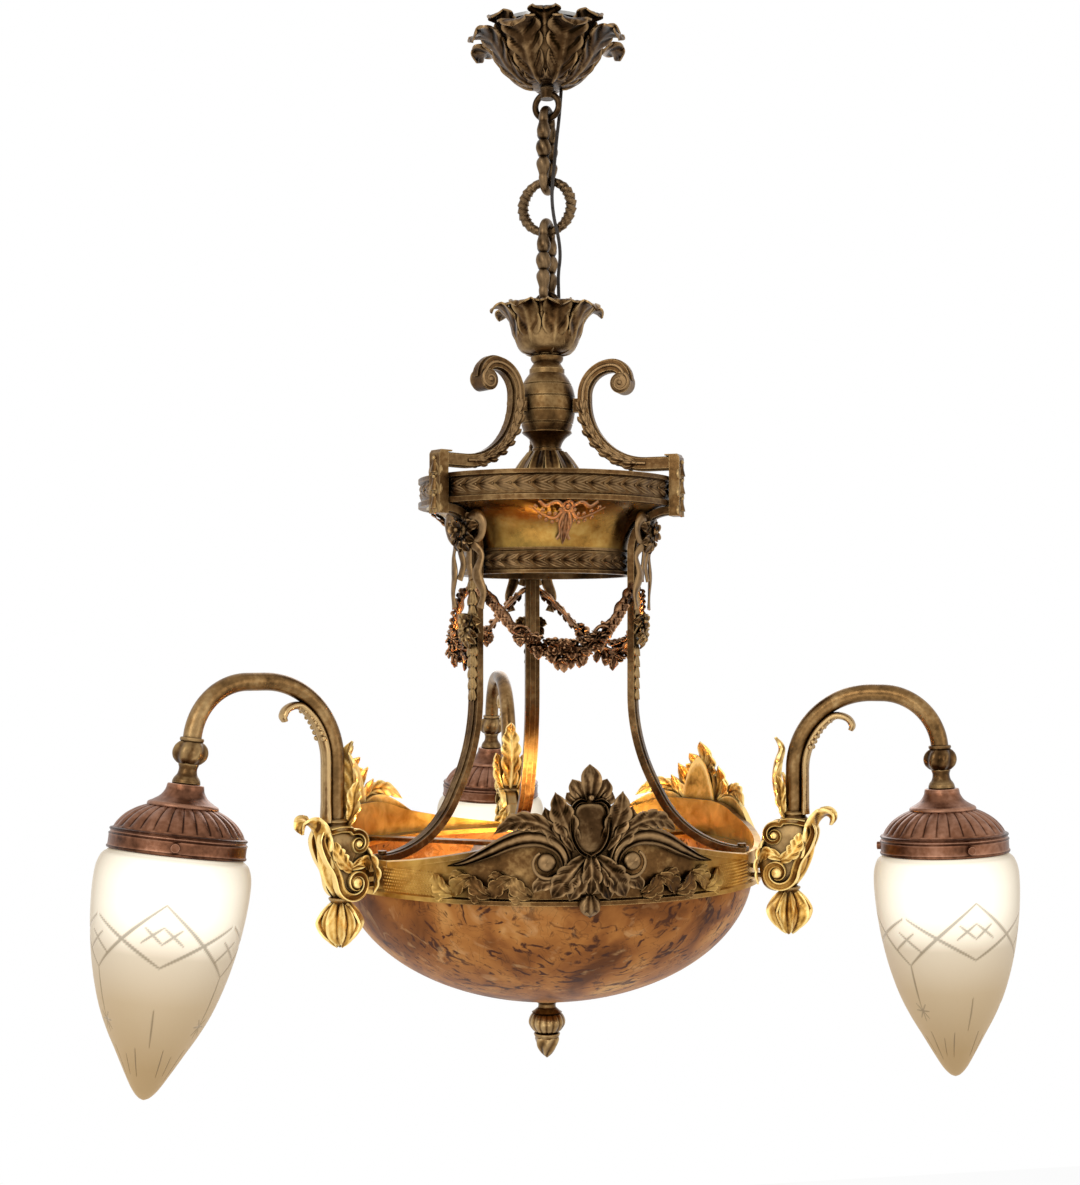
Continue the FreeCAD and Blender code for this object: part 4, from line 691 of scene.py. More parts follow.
def lead():
    """The thin lead beside the chain: one smooth line, cut where it passes from body to body."""
    spin = math.radians(CHAIN_AZIMUTH)
    along, front = Vector((math.cos(spin), math.sin(spin), 0)), Vector((math.sin(spin), -math.cos(spin), 0))
    curve = bpy.data.curves.new("lead_route", "CURVE")
    curve.dimensions = "3D"
    curve.resolution_u = 10
    spline = curve.splines.new("NURBS")
    spline.points.add(len(LEAD_POINTS) - 1)
    for point, (a, b, z) in zip(spline.points, LEAD_POINTS):
        place = (along * a + front * b + Vector((0, 0, z))) * MM
        point.co = (*place, 1)
    spline.order_u = 3
    spline.use_endpoint_u = True
    route = placed("lead_route", curve)
    bpy.context.view_layer.update()
    line = bpy.data.meshes.new_from_object(route.evaluated_get(bpy.context.evaluated_depsgraph_get()))
    path = np.array([v.co for v in line.vertices]) * MM_PER_METRE
    bpy.data.objects.remove(route)
    limits = [np.inf, *LEAD_CUT_HEIGHTS, -np.inf]
    for number, node in enumerate(LEAD_NODES):
        chosen = (path[:, 2] <= limits[number] + LEAD_LAP) & (path[:, 2] >= limits[number + 1] - LEAD_LAP)
        twin = []
        for side in (-1, 1):
            offset = np.array([along.x, along.y, along.z]) * side * LEAD_R * 0.42
            twin.append(tube(path[chosen] + offset, LEAD_R * 0.58, 8, side=(1, 0.2, 0)))
        item = piece(node + "_wire", joined(twin), "lead_sleeve", body=None, replaces=[node])
        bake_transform(item)


def stem_foot():
    """The foot's ring of upright leaves."""
    path = upright([(26.8, CORONA_TOP + 0.6), (26.6, CORONA_TOP + 8), (21.5, CORONA_TOP + 16.5),
        (15.2, FOOT_TOP - 1)], 24)
    petal = leaf(path[::-1], 13.5, 1, depth=0.1, cup=-0.12, rib=0.06, vein=0.0, root=0.75, full=0.7,
        thick=1.2)
    core = lathe([(4.4, FOOT_TOP), (13.4, FOOT_TOP), (14, FOOT_TOP - 2), (20.5, CORONA_TOP + 15.5),
        (25.8, CORONA_TOP + 8), (26.4, CORONA_TOP), (4.4, CORONA_TOP)])
    petals = [turned_to(petal, 360 * number / 12) for number in range(12)]
    piece("stem_foot_leaves", joined([core] + petals), "aged_brass", replaces=["stem_foot"])


# ---- Corona ----------------------------------------------------------------------------------
def laurel(radius, height, length, width, count):
    """A running wreath of slender leaf pairs, laid on a round band."""
    path = smooth([(0, 0, 0.2), (length * 0.45, width * 0.22, 1.9), (length, width * 0.45, 0.7)], 10)
    points, quads = leaf(path, width * 0.44, 1, depth=0.05, cup=-0.3, rib=0.16, vein=0.0, root=0.25,
        full=0.45, thick=1.5, normal=(0, 0, 1), across=9)
    motif = joined([(points, quads), (points * np.array([1, -1, 1]), quads[:, ::-1]),
        ball((length * 0.72, 0, 0.9), width * 0.07)])
    return joined([wrapped(motif, radius, 360.0 * number / count, height) for number in range(count)])


def bands():
    upper = laurel(BAND_R - 0.6, UPPER_LAUREL, 19.0, 13.5, 44)
    piece("upper_band_laurel", upper, "dark_bronze")
    lower = laurel(LOWER_BAND_R - 0.6, LOWER_LAUREL, 15.5, 12.5, 35)
    piece("lower_band_laurel", lower, "dark_bronze")


def drum_radius(z):
    """Radius of the drum's hollow side at a height."""
    t = np.clip((z - DRUM_FOOT) / (DRUM_TOP - DRUM_FOOT), 0, 1)
    slope = math.hypot(DRUM_TOP_R - DRUM_FOOT_R, DRUM_TOP - DRUM_FOOT)
    bow = 4 * DRUM_HOLLOW * t * (1 - t) * (DRUM_TOP - DRUM_FOOT) / slope
    return DRUM_FOOT_R + (DRUM_TOP_R - DRUM_FOOT_R) * t - bow * 0.72


def drum_swag():
    """A ring with two hanging sprays of berries and a ribbon drop."""
    shapes = [tube(raised(spiral((0, 6), 3.6, 3.6, 1, 0), 1.4), 1.1, 8, normal=(0, 0, 1)),
        ball((0, 6, 1), 2.2)]
    spray = smooth([(3, 3, 1.2), (10, -3, 2.0), (20, 0, 1.6), (30, 6, 1.0)], 24)
    half = [tube(spray, np.linspace(1.5, 0.7, 24), 8, normal=(0, 0, 1))]
    for number in range(9):
        at = spray[3 + number * 2]
        lift = 3.0 * (-1) ** number
        half.append(ball((at[0], at[1] + lift, 1.3), 1.7))
    ribbon = smooth([(2, 4, 1.2), (9, 9, 2.2), (17, 6, 1.4), (22, 10, 1.0)], 20)
    half.append(tube(ribbon, 1.3, 8, flat=0.5, normal=(0, 0, 1)))
    tail = smooth([(1.5, 2, 1.2), (5, -7, 1.8), (3.5, -15, 1.2), (6.5, -20, 1.0)], 20)
    half.append(tube(tail, 1.4, 8, flat=0.5, normal=(0, 0, 1)))
    shapes.append(mirrored(joined(half)))
    drop = leaf(smooth([(0, 0, 1.0), (0, -10, 2.2), (0, -24, 1.0)], 22), 8.0, 3, depth=0.3, normal=(0, 0, 1))
    shapes.append(drop)
    motif = joined(shapes)
    return joined([wrapped(motif, drum_radius, azimuth, DRUM_TOP - 11)
        for azimuth in CARTOUCHE_AZIMUTHS.values()])


# ---- Blocks, bows, drops and garlands --------------------------------------------------------
def husk(length, width):
    """A bell of three leaves that hangs down, drawn flat with its mouth at the foot."""
    path = smooth([(0, 0, 0.3), (0, -length * 0.5, 2.0), (0, -length, 1.6)], 12)
    middle = leaf(path, width * 0.6, 1, depth=0.0, cup=-0.3, rib=0.1, vein=0.0, root=0.4, full=0.6,
        normal=(0, 0, 1), across=7)
    aside = smooth([(0, 0, 0), (width * 0.28, -length * 0.5, 1.2), (width * 0.46, -length * 0.95, 1.4)], 12)
    wing = leaf(aside, width * 0.5, 1, depth=0.0, cup=-0.25, rib=0.1, vein=0.0, root=0.4, full=0.6,
        normal=(0, 0, 1), across=7)
    return joined([middle, mirrored(wing), ball((0, 0, 1.0), width * 0.14)])


def moved(shape, x=0.0, y=0.0, z=0.0, turn=0.0, size=1.0):
    """Turns a flat drawing in its plane, scales it and moves it."""
    points, quads = shape
    a = math.radians(turn)
    spin = np.array([[math.cos(a), -math.sin(a), 0], [math.sin(a), math.cos(a), 0], [0, 0, 1]])
    return size * points @ spin.T + np.array([x, y, z]), quads


def on_face(shape, radius, height):
    """Stands a flat drawing on the outer face of something at this radius, in radial space."""
    points, quads = shape
    return np.stack([radius + points[:, 2], points[:, 0], height + points[:, 1]], -1), quads


def corner_ornament():
    """Husks down the outer face of a corner block."""
    drops = [moved(husk(16, 15), 0, 16 - 15.5 * number) for number in range(3)]
    return on_face(joined(drops), BLOCK_FACE_R, BLOCK_ORNAMENT)


def bow():
    """A soft ribbon bow with two loops and two long tails, and a flower and leaves on its knot."""
    loop_line = smooth([(0, 0, 3), (7, 6.5, 6), (16, 10, 6.5), (20.5, 4, 5), (16, -4.5, 4), (7, -3, 4),
        (0, 0, 3)], 44)
    loop = tube(loop_line, 4.2 + 0.8 * np.sin(np.linspace(0, 3 * np.pi, 44)), 12, flat=0.42,
        normal=(0.3, 0.2, 1))
    tail_line = smooth([(1, -1, 3), (9, -9, 5), (16, -18, 2.5), (13, -31, 4), (17.5, -44, 2),
        (15, -55, 2.5)], 44)
    tail = tube(tail_line, 3.4 + 0.9 * np.sin(np.linspace(0, 4 * np.pi, 44)), 12, flat=0.36,
        normal=(0.2, 0.2, 1))
    inner_line = smooth([(0, -2, 3), (5, -12, 5), (3.5, -24, 3.5), (7, -35, 4)], 30)
    inner = tube(inner_line, 3.0, 12, flat=0.4, normal=(0, 0, 1))
    half = [loop, tail, inner]
    for turn, length in ((12, 17), (48, 15), (-35, 15), (-68, 17)):
        a = math.radians(turn)
        tip = np.array([math.cos(a), math.sin(a), 0]) * length
        half.append(flat_leaf([tip * 0.15 + (0, 0, 6), tip * 0.6 + (0, 0, 9.5), tip + (0, 0, 5.5)], 9.5, 3))
    knot = joined([ball((0, 0, 5.5), 6.5), flower((0, 0, 11.5), 7.5, cup=0.5), flower((0, 8.5, 8.5), 5.0),
        flower((0, -8.5, 8.5), 5.5)])
    return joined([knot, mirrored(joined(half))])


def drop():
    """The long drop on a strap: a ribbon, a spray of leaves and a tail of husks."""
    shapes = []
    for number in range(3):
        shapes.append(moved(husk(15, 11), 0, -2 - 12.5 * number))
    for turn, length in ((-72, 16), (-40, 19), (0, 21), (40, 19), (72, 16)):
        path = smooth([(0, 0, 1.5), (0, -length * 0.5, 6.0), (0, -length, 2.0)], 22)
        shapes.append(moved(leaf(path, 10.5, 3, normal=(0, 0, 1)), 0, -38, 0, turn))
        shapes.append(moved(leaf(path * np.array([1, 0.85, 1]), 9, 3, normal=(0, 0, 1)), 0, -48, 1.5,
            turn * 0.8))
    shapes += [flower((0, -42, 7.5), 7.0, cup=0.5), flower((6.5, -49, 6.0), 5.0),
        flower((-6.5, -49, 6.0), 5.0)]
    for number in range(5):
        shapes.append(moved(husk(13.5, 12 - 0.8 * number), 0, -59 - 9.4 * number))
    return joined(shapes)


def scroll_relief():
    """A ridge, leaves and a spiral on both cheeks of a scroll, in radial space."""
    eye, face = (69.6, -316.0), 6.3
    turns = [((92.2, -329.5), 57.0, 270, 180), ((60.2, -325.0), 25.0, 180, 90),
        ((60.2, -313.0), 13.0, 90, 12)]
    line = np.vstack([arc(*turn, 9) for turn in turns])
    ridge = tube(raised(smooth(line, 120), face), 1.7, 10, flat=0.8, normal=(0, 0, 1))
    curl = tube(raised(spiral(eye, 8.6, 2.0, 1.6, 60, way=-1, count=60), 8.4), np.linspace(1.5, 1.0, 60),
        10, normal=(0, 0, 1))
    shapes = [ridge, curl, ball((*eye, 7.2), 8.8, 0.28, 28), ball((*eye, 8.8), 2.6, 0.8)]
    centre, radius, _, _ = turns[0]
    for angle in np.linspace(262, 192, 7):
        a = math.radians(angle)
        at = (centre[0] + (radius + 0.6) * math.cos(a), centre[1] + (radius + 0.6) * math.sin(a))
        shapes.append(moved(husk(12.5, 9.5), *at, face, turn=angle))
    return both_sides(stood_up(joined(shapes)))


def strap_ornaments():
    face = STRAP_R + STRAP_HALF_T
    bows = at_all(on_face(moved(bow(), size=1.2), face + 2.0, BOW_HEIGHT), ARM_AZIMUTHS.values())
    piece("ribbon_bow_folds", bows, "dark_bronze", replaces=["ribbon_bows"])
    drops = at_all(on_face(drop(), face - 0.4, DROP_HEIGHT), ARM_AZIMUTHS.values())
    piece("husk_drop_leaves", drops, "aged_brass", replaces=["husk_drops"])
    piece("scroll_husks", at_all(scroll_relief(), ARM_AZIMUTHS.values()), "dark_bronze")
    blocks = at_all(corner_ornament(), ARM_AZIMUTHS.values())
    piece("corner_block_husks", blocks, "aged_brass")


def garland_line(share):
    """Azimuth and height of a garland, at a share from -1 to 1 of its length."""
    s = np.abs(share)
    azimuth = np.sign(share) * np.interp(s, [0, 0.2, 0.4, 0.6, 0.8, 1], [0, 13, 25, 36, 46, 55.6])
    height = np.interp(s, [0, 0.2, 0.4, 0.55, 0.7, 0.85, 1], [-547, -544, -533, -521, -508, -498, -490])
    return azimuth, height


def garland():
    """Ribbons that come down from two bows to a cluster of flowers and leaves."""
    random = np.random.default_rng(GARLAND_SEED)
    radius = GARLAND_R
    share = np.linspace(-1, 1, 121)
    azimuth, height = garland_line(share)
    a = np.radians(azimuth)
    line = np.stack([radius * np.cos(a), radius * np.sin(a), height], -1)
    wave = 3.1 + 1.1 * np.sin(np.linspace(0, 22 * np.pi, 121))
    shapes = [tube(line, wave, 12, flat=0.6, normal=(0.4, 0.0, 1)),
        tube(line + np.array([1.8, 0, -2.2]), wave[::-1] * 0.9, 12, flat=0.5, normal=(1, 0.1, 0.2))]

    def at(share):
        azimuth, height = garland_line(np.array([share]))
        turn = math.radians(azimuth[0])
        return turn, np.array([radius * math.cos(turn), radius * math.sin(turn), height[0]])

    flower_count, spread = 96, 0.46
    for number in range(flower_count):
        s = random.uniform(-spread, spread)
        a, middle = at(s)
        turn = random.uniform(-2.2, 2.2)
        out = np.array([math.cos(a) * math.cos(turn), math.sin(a) * math.cos(turn), math.sin(turn) - 0.15])
        centre = middle + out * 13.0 * (1 - abs(s) / 0.66) * 0.6
        if number % 3:
            shapes.append(flower(centre, random.uniform(4.6, 6.8), 5, random.uniform(0, 3), 0.5, out))
        else:
            path = smooth([centre - out * 4, centre + out * 2.5, centre + out * 6 - np.array([0, 0, 3])], 16)
            shapes.append(leaf(path, 8.5, 3, side=np.cross(out, (0, 0, 1)) + 1e-3, across=9))
    for number in range(7):
        for way in (-1, 1):
            a, middle = at(way * (0.5 + 0.07 * number))
            out = np.array([math.cos(a), math.sin(a), 0.25])
            path = smooth([middle + out * 2.5, middle + out * 5.5 - (0, 0, 2.5),
                middle + out * 3.5 - (0, 0, 9)], 16)
            shapes.append(leaf(path, 8, 3, side=np.cross(out, (0, 0, 1)) + 1e-3, across=9))
    for way in (-1, 1):
        _, middle = at(0.42 * way)
        knot = smooth([(0, -7, 1), (3, -3, 5), (2, 3, 4), (0, 7, -1), (3, 0, -3), (0, -7, 1)], 30)
        shapes.append(tube(middle + knot, 2.8, 10, flat=0.6, side=(1, 0, 0)))
    return joined(shapes)


# ---- Bowl ring and cartouches ----------------------------------------------------------------
def flat_leaf(points, width, lobes=4, **more):
    """A leaf drawn flat, through points of X, Y and Z."""
    return leaf(smooth(points, 12 + 6 * lobes), width, lobes, normal=(0, 0, 1), **more)


def c_scroll():
    """The right-hand sweep of a cartouche: a broad ridged horn that rolls round the eye of its volute."""
    horn = smooth([(112, 1.5, -0.6), (97, 5, 0.8), (80, 12.5, 2.0), (63, 21, 3.4), (48, 25.5, 4.6),
        (34, 24.5, 5.4), (23, 17.5, 5.8), (18.2, 6, 5.6), (19.5, -6, 4.6)], 110)
    width = np.interp(np.linspace(0, 1, 110), [0, 0.1, 0.3, 0.5, 0.65, 0.8, 1], [1, 5, 11.5, 15, 14, 10, 7])
    eye = (33, 6.5)
    rim = raised(spiral(eye, 17.0, 8.9, 0.9, 92, way=1, count=60), np.linspace(6.8, 6.2, 60))
    return joined([strip(horn, width, RIDGED, normal=(0, 0, 1), thick=3),
        tube(rim, np.linspace(1.6, 1.2, 60), 10, normal=(0, 0, 1)), ball((*eye, 4.6), 7.6, 0.55, 32),
        flat_leaf([(24, 27, 5), (36, 35.5, 7.5), (49, 38.5, 6), (61, 36, 3.6), (74, 27.5, 1.4)], 15.5, 5,
        depth=0.24, cup=0.12, rib=0.1, vein=0.1)])


# points, width, lobes, depth and cup of the leaves on one side of a cartouche
CARTOUCHE_LEAVES = (
    ([(5, 54, 4), (10, 62.5, 7), (13.6, 70.5, 3)], 12, 1, 0.03, 0.15),
    ([(8, 50, 4), (13.5, 55.5, 6.5), (18, 60, 3)], 10, 1, 0.03, 0.15),
    ([(11, 17, 4), (17, 32, 7.5), (22.5, 46, 7.5), (26.5, 60.5, 2.5)], 19, 4, 0.2, 0.28),
    ([(14, 12, 3), (23, 24, 6.5), (30, 36, 5.5), (34.5, 49, 2)], 16, 4, 0.22, 0.28),
    ([(4, 10, 6.5), (13.5, 0, 9.5), (21.5, -10, 7.5), (29, -21.5, 2)], 20, 4, 0.22, 0.22),
    ([(2, 5, 7.5), (7, -5, 9.5), (12, -14.5, 7), (15.8, -23.5, 2)], 13.5, 3, 0.2, 0.22),
)


def cartouche():
    """A palmette over a dark shield, held by leaves and scrolls, drawn flat from the ring's top."""
    rim = [(3, 53.5, 6.5), (8.5, 54, 7), (13.4, 49, 7.5), (14.4, 38, 7.5), (13.2, 25, 7.5), (8, 15.5, 7.5),
        (0.4, 10.5, 7.5)]
    half = [c_scroll()]
    for points, width, lobes, depth, cup in CARTOUCHE_LEAVES:
        half.append(flat_leaf(points, width, lobes, depth=depth, cup=cup, rib=0.12))
    half.append(flat_leaf([(20, -2, 3), (30, -7.5, 5.5), (38, -10, 4), (43, -17, 1.5)], 12, 3))
    half.append(strip(smooth(rim, 60), np.interp(np.linspace(0, 1, 60), [0, 0.15, 1], [2.2, 3.8, 3.6]),
        RIMMED, normal=(0, 0, 1), thick=4))
    middle = [
        flat_leaf([(0, 55, 4), (0, 68, 9), (0, 82, 3)], 15.5, 1, depth=0.03, cup=0.12, rib=0.14, full=0.5),
        flat_leaf([(0, 12, 7.5), (0, -3, 10.5), (0, -20, 4.5)], 15, 3, depth=0.15, cup=0.2, rib=0.14),
        ball((0, 56.5, 8.6), 2.4), ball((0, -27, 2.8), 8.6, 0.65, 28),
        flat_leaf([(0, -19, 6), (0, -29, 9), (0, -36.8, 3)], 13, 1, depth=0.05, cup=-0.2, rib=0.14),
    ]
    line = smooth([(0, -19), (17, -16), (23, -4), (22, 14), (20, 32), (15, 48), (9, 60), (0, 68)], 36)
    share = np.linspace(0.02, 1, 10)[:, None, None]
    outline = np.vstack([line, line[::-1][1:-1] * np.array([-1, 1])])
    plate = np.array([0, 24.0]) + share * (outline - np.array([0, 24.0]))[None]
    rise = 3.4 * (1 - share[..., 0] ** 2) * np.ones(len(outline)) + 1.4
    front = np.concatenate([plate, rise[..., None]], -1)
    front = surface(np.concatenate([front, front[::-1] * np.array([1, 1, 0])]), wrap=True)
    return joined([mirrored(shape) for shape in half] + middle + [front])


def shield():
    """The smooth dark shield in the middle of a cartouche, square above and pointed below."""
    u = np.linspace(0.02, 1, 12)[:, None]
    a = circle(72)[None, :]
    up = u * np.sign(np.sin(a)) * np.abs(np.sin(a)) ** 0.7
    across = 12.8 * u * np.sign(np.cos(a)) * np.abs(np.cos(a)) ** 0.55 * (1 - 0.3 * np.clip(-up, 0, 1) ** 2)
    rise = 6.0 + 2.4 * (1 - u ** 2.4) + 0 * a
    front = np.stack([across, 33 + 18.5 * up, rise], -1)
    return surface(np.concatenate([front, front[::-1] * np.array([1, 1, 0.5])]), wrap=True)


def frieze_scrolls():
    """Rolling acanthus on the frieze and a stippled ground, drawn flat from a cartouche."""
    middle, first_dot = -14.0, 126
    shapes = []
    for number, at in enumerate((44, 60, 76, 92, 107)):
        way = -1 if number % 2 else 1
        shapes.append(flat_leaf([(at, middle - way * 7, 1.0), (at + 6, middle - way * 3.5, 4.6),
            (at + 13, middle + way * 2.5, 4.0), (at + 17.5, middle + way * 8.6, 1.0)], 13.5, 3, depth=0.3,
            cup=0.2, rib=0.14, vein=0.13))
        shapes.append(flat_leaf([(at + 4, middle - way * 8.5, 0.8), (at + 11, middle - way * 8.6, 3.6),
            (at + 18, middle - way * 4.5, 1.2)], 8.5, 3, depth=0.3, vein=0.13))
        curl = raised(spiral((at + 15, middle - way * 4.6), 5.0, 1.2, 1.4, 90 * way, way=way, count=36), 2.4)
        shapes.append(tube(curl, np.linspace(1.7, 1.0, 36), 10, normal=(0, 0, 1)))
        shapes.append(ball((at + 15, middle - way * 4.6, 2.2), 1.8))
    for column in range(19):
        for row in range(8):
            dot = (first_dot + 2.8 * column + 1.4 * (row % 2), middle - 9.1 + 2.6 * row, 0.3)
            shapes.append(ball(dot, 0.95, 1.0, 6))
    return mirrored(joined(shapes))


def ring_ornaments():
    front, others = cartouche(), shield()
    scrolls = frieze_scrolls()
    for name, azimuth in CARTOUCHE_AZIMUTHS.items():
        # The back cartouches take the brass with painted light from the bowl's bulbs; the front one stays
        # dark bronze.
        finish = "dark_bronze" if name == "front" else "lamp_lit_gold"
        place = (MOULDING_R + 0.4, azimuth, RING_TOP)
        piece(f"cartouche_{name}_leaves", wrapped(front, *place), finish, replaces=[f"cartouche_{name}"])
        piece(f"cartouche_{name}_shield", wrapped(others, *place), "dark_bronze")
        piece(f"frieze_{name}_scrolls", wrapped(scrolls, RING_R - 0.5, azimuth, RING_TOP), "ring_brass")


# ---- Bowl and finial -------------------------------------------------------------------------
def finial():
    z = BOWL_FOOT
    turned_part = lathe([(0.02, z - 0.4), (12.4, z - 0.4), (13.4, z - 3.5), (8.4, z - 5.5), (7.8, z - 9),
        (9.5, z - 11), (12.5, z - 13.5), (12.5, z - 14), (4, z - 16)], 64, samples=60)
    bulge = lathe([(4, z - 13.5), (12.2, z - 14.5), (15.9, z - 22), (12.5, z - 29), (8.4, z - 32),
        (4, z - 33)], 112, push=lambda a, t: 1.1 * np.abs(np.cos(8 * a)) ** 0.6 * np.sin(np.pi * t) - 0.6)
    collar = lathe([(4, z - 31), (10.8, z - 32), (11.2, z - 34), (9.4, z - 36), (4, z - 36.5)], 64)
    bud = lathe([(4, z - 34), (10.0, z - 36), (8.8, z - 43), (4.5, z - 50), (0.6, z - 54)], 72,
        push=lambda a, t: 0.8 * np.cos(6 * a + 9 * t) * np.sin(np.pi * t))
    # The finial takes the lighter brass as painted light on its underside.
    piece("finial_turnings", joined([turned_part, bulge, collar, bud]), "lit_brass", replaces=["finial"])


def bracket_core():
    """The console behind a bracket's leaves, with its neck and the seed of its bud, in radial space."""
    outline = smooth([(194, -700), (203, -691), (218, -687), (230, -690), (233.5, -703), (231, -716),
        (225, -731), (217, -742), (205, -748), (194, -742), (190.5, -720), (194, -700)], 60)
    rows = [np.stack([212 + k * (outline[:, 0] - 212), np.full(60, -y), -718 + k * (outline[:, 1] + 718)],
        -1) for k, y in ((0.02, 9.5), (0.5, 9.3), (0.8, 8.3), (0.95, 6.0), (1.0, 3.0))]
    core = surface(np.array(rows + [row * np.array([1, -1, 1]) for row in rows[::-1]]), wrap=True)
    seed = lathe([(0.02, -743), (9, -744), (6.6, -748.5), (5.4, -751), (7.4, -757), (8.2, -765),
        (5.6, -776), (0.3, -784)], 32)
    collar = lathe([(7.2, -690), (10.8, -690), (11.4, -687), (9.6, -684.5), (10.4, -682.5), (8.8, -680.5),
        (7.2, -680.5)], 48)
    return joined([core, set_out(seed, BUD_R), set_out(collar, ARM_R)])


# ---- Arms ------------------------------------------------------------------------------------
def bracket():
    """Scrolled bands and acanthus over the console, and the petals of the bud below, in radial space."""
    sweep = np.vstack([smooth([(235, -689), (237.5, -698), (233, -710), (226, -721), (222.6, -731)],
        30)[:-1], spiral((208, -732), 14.6, 4.0, 1.3, 0, way=-1, count=60)])
    crest = np.vstack([smooth([(231, -690), (220, -688.5), (210, -689.5)], 12)[:-1],
        spiral((205, -701), 10.5, 2.8, 1.3, 62, way=1, count=44)])
    count = len(sweep)
    width = np.interp(np.linspace(0, 1, count), [0, 0.2, 0.5, 1], [4, 7.5, 7, 3.2])
    depth = np.interp(np.linspace(0, 1, count), [0, 0.4, 1], [-7.0, -10.0, -12.4])
    cheek = [strip(np.column_stack([sweep, -depth]), width, RIMMED, normal=(0, 0, 1), thick=4),
        strip(raised(crest, 9.4), np.linspace(5.5, 3.0, len(crest)), RIMMED, normal=(0, 0, 1), thick=3),
        ball((208, -732, 12.2), 4.6, 0.8, 16), ball((205, -701, 10), 3.2, 0.9, 12),
        flat_leaf([(210, -722, 9.5), (219, -716, 12), (225, -707, 11), (226, -697, 8)], 13, 4, vein=0.12),
        flat_leaf([(211, -720, 9.5), (203, -716, 12), (197, -717, 10), (192.5, -724, 7)], 11, 3, vein=0.12)]
    cheeks = both_sides(stood_up(joined(cheek)))
    face = leaf(upright([(219, -743), (228, -731), (234.5, -716), (236.5, -702), (240, -690), (246, -684),
        (250, -686), (249.5, -691.5)], 66), 25, 6, depth=0.22, cup=-0.5, rib=0.1, vein=0.1, root=0.5,
        full=0.5, thick=2.0, across=17)
    rear = both_sides(leaf(smooth([(197, 5, -703), (192.5, 11, -713), (190.5, 14.5, -727),
        (191.5, 13, -742)], 36), 13, 4, side=(0.2, 1, 0), vein=0.12))
    petals = []
    for number in range(4):
        path = upright([(4.4, -749.5), (9.8, -756), (12.6, -764), (9.6, -772.5), (3.2, -781)], 30)
        petals.append(turned_to(leaf(path, 16, 2, depth=0.08, cup=-0.42, rib=0.14, full=0.42, root=0.5,
            thick=1.8), 90 * number + 45))
        path = upright([(4.4, -750), (8.4, -758), (9.6, -766), (6.4, -776), (1.6, -783)], 30)
        petals.append(turned_to(leaf(path, 12, 1, depth=0.0, cup=-0.4, rib=0.14, full=0.42, thick=1.6),
            90 * number))
    return joined([cheeks, face, rear, set_out(joined(petals), BUD_R)])


def arm_stalk(name):
    """The smooth stalk inside an arm's arch, whose rounded tongue rolls away from it."""
    centre = np.array([ARM_R + ARM_BEND, RING_TOP + ARM_CROWNS[name] - ARM_BEND])
    hug = ARM_BEND - ARM_TUBE_R - 2.2
    arch = raised(arc(centre, hug, 180, 134, 12))[:, [0, 2, 1]]
    rise = [(ARM_R + ARM_TUBE_R + 2.2, 0, z) for z in np.linspace(BRACKET_TOP + 1, arch[0, 2] - 6, 5)]
    roll = [arch[-1] + np.array(p) for p in ((6, 0, 4.6), (13, 0, 5.4), (19.5, 0, 2.6), (22.5, 0, -2.6),
        (21, 0, -6.5))]
    path = smooth(rise + list(arch[::2]) + roll, 100)
    share = np.linspace(0, 1, 100)
    width = np.interp(share, [0, 0.1, 0.55, 0.8, 0.93, 1], [7.2, 6.2, 6.4, 6.0, 5.4, 4.0])
    stalk = tube(path, width, 16, flat=0.52, side=(0, 1, 0))
    spine = tube(path[8:88] + np.array([1.2, 0, -1.2]), np.linspace(2.4, 1.6, 80), 10, side=(0, 1, 0))
    relief = []
    for number in range(7):
        at = path[50 + 4 * number]
        for way in (-1, 1):
            relief.append(ball(at + np.array([1.4, way * (5.4 - 0.3 * number), -1.4]), 2.3 - 0.12 * number))
    return turned_to(joined([stalk, spine] + relief), ARM_AZIMUTHS[name])


def arm_flame():
    """The leaf that licks up the bowl's side of an arm, in radial space."""
    shapes = [leaf(upright([(212, -688), (206, -672), (202.5, -656), (203.5, -641), (207, -629),
        (203, -620)], 60), 21, 5, depth=0.3, cup=-0.35, rib=0.1, vein=0.1, root=0.6, full=0.35, thick=2.0,
        side=(0, -1, 0), across=15)]
    low = leaf(smooth([(214, 6, -688), (210, 10.5, -674), (209, 12, -660), (206, 14.5, -650)], 40), 13, 4,
        depth=0.3, cup=-0.2, rib=0.1, vein=0.1, side=(0.5, -1, 0), thick=1.8)
    return joined(shapes + [both_sides(low)])


def knop():
    """The soft-lobed knot at the lamp end of an arm, in lamp space."""
    bulb = lathe([(7.2, 8.8), (9.8, 7.6), (12.3, 4.4), (13.3, 0), (12.3, -4.4), (9.6, -7.6), (7.4, -9.0)],
        112, push=lambda a, t: 0.9 * np.cos(7 * a + 3.0 * t) * np.sin(np.pi * t) ** 0.7 - 0.6)
    neck = lathe([(5, -7.8), (7.6, -8.4), (6.8, -12), (7.4, -16), (9.4, -19), (10.4, -21.5), (10.0, -23.6),
        (5, -23.7)], 48)
    ring = lathe([(6.8, 11.6), (8.6, 11.2), (9.0, 9.8), (8.4, 8.4), (6.8, 8.2)], 48)
    return joined([bulb, neck, ring])


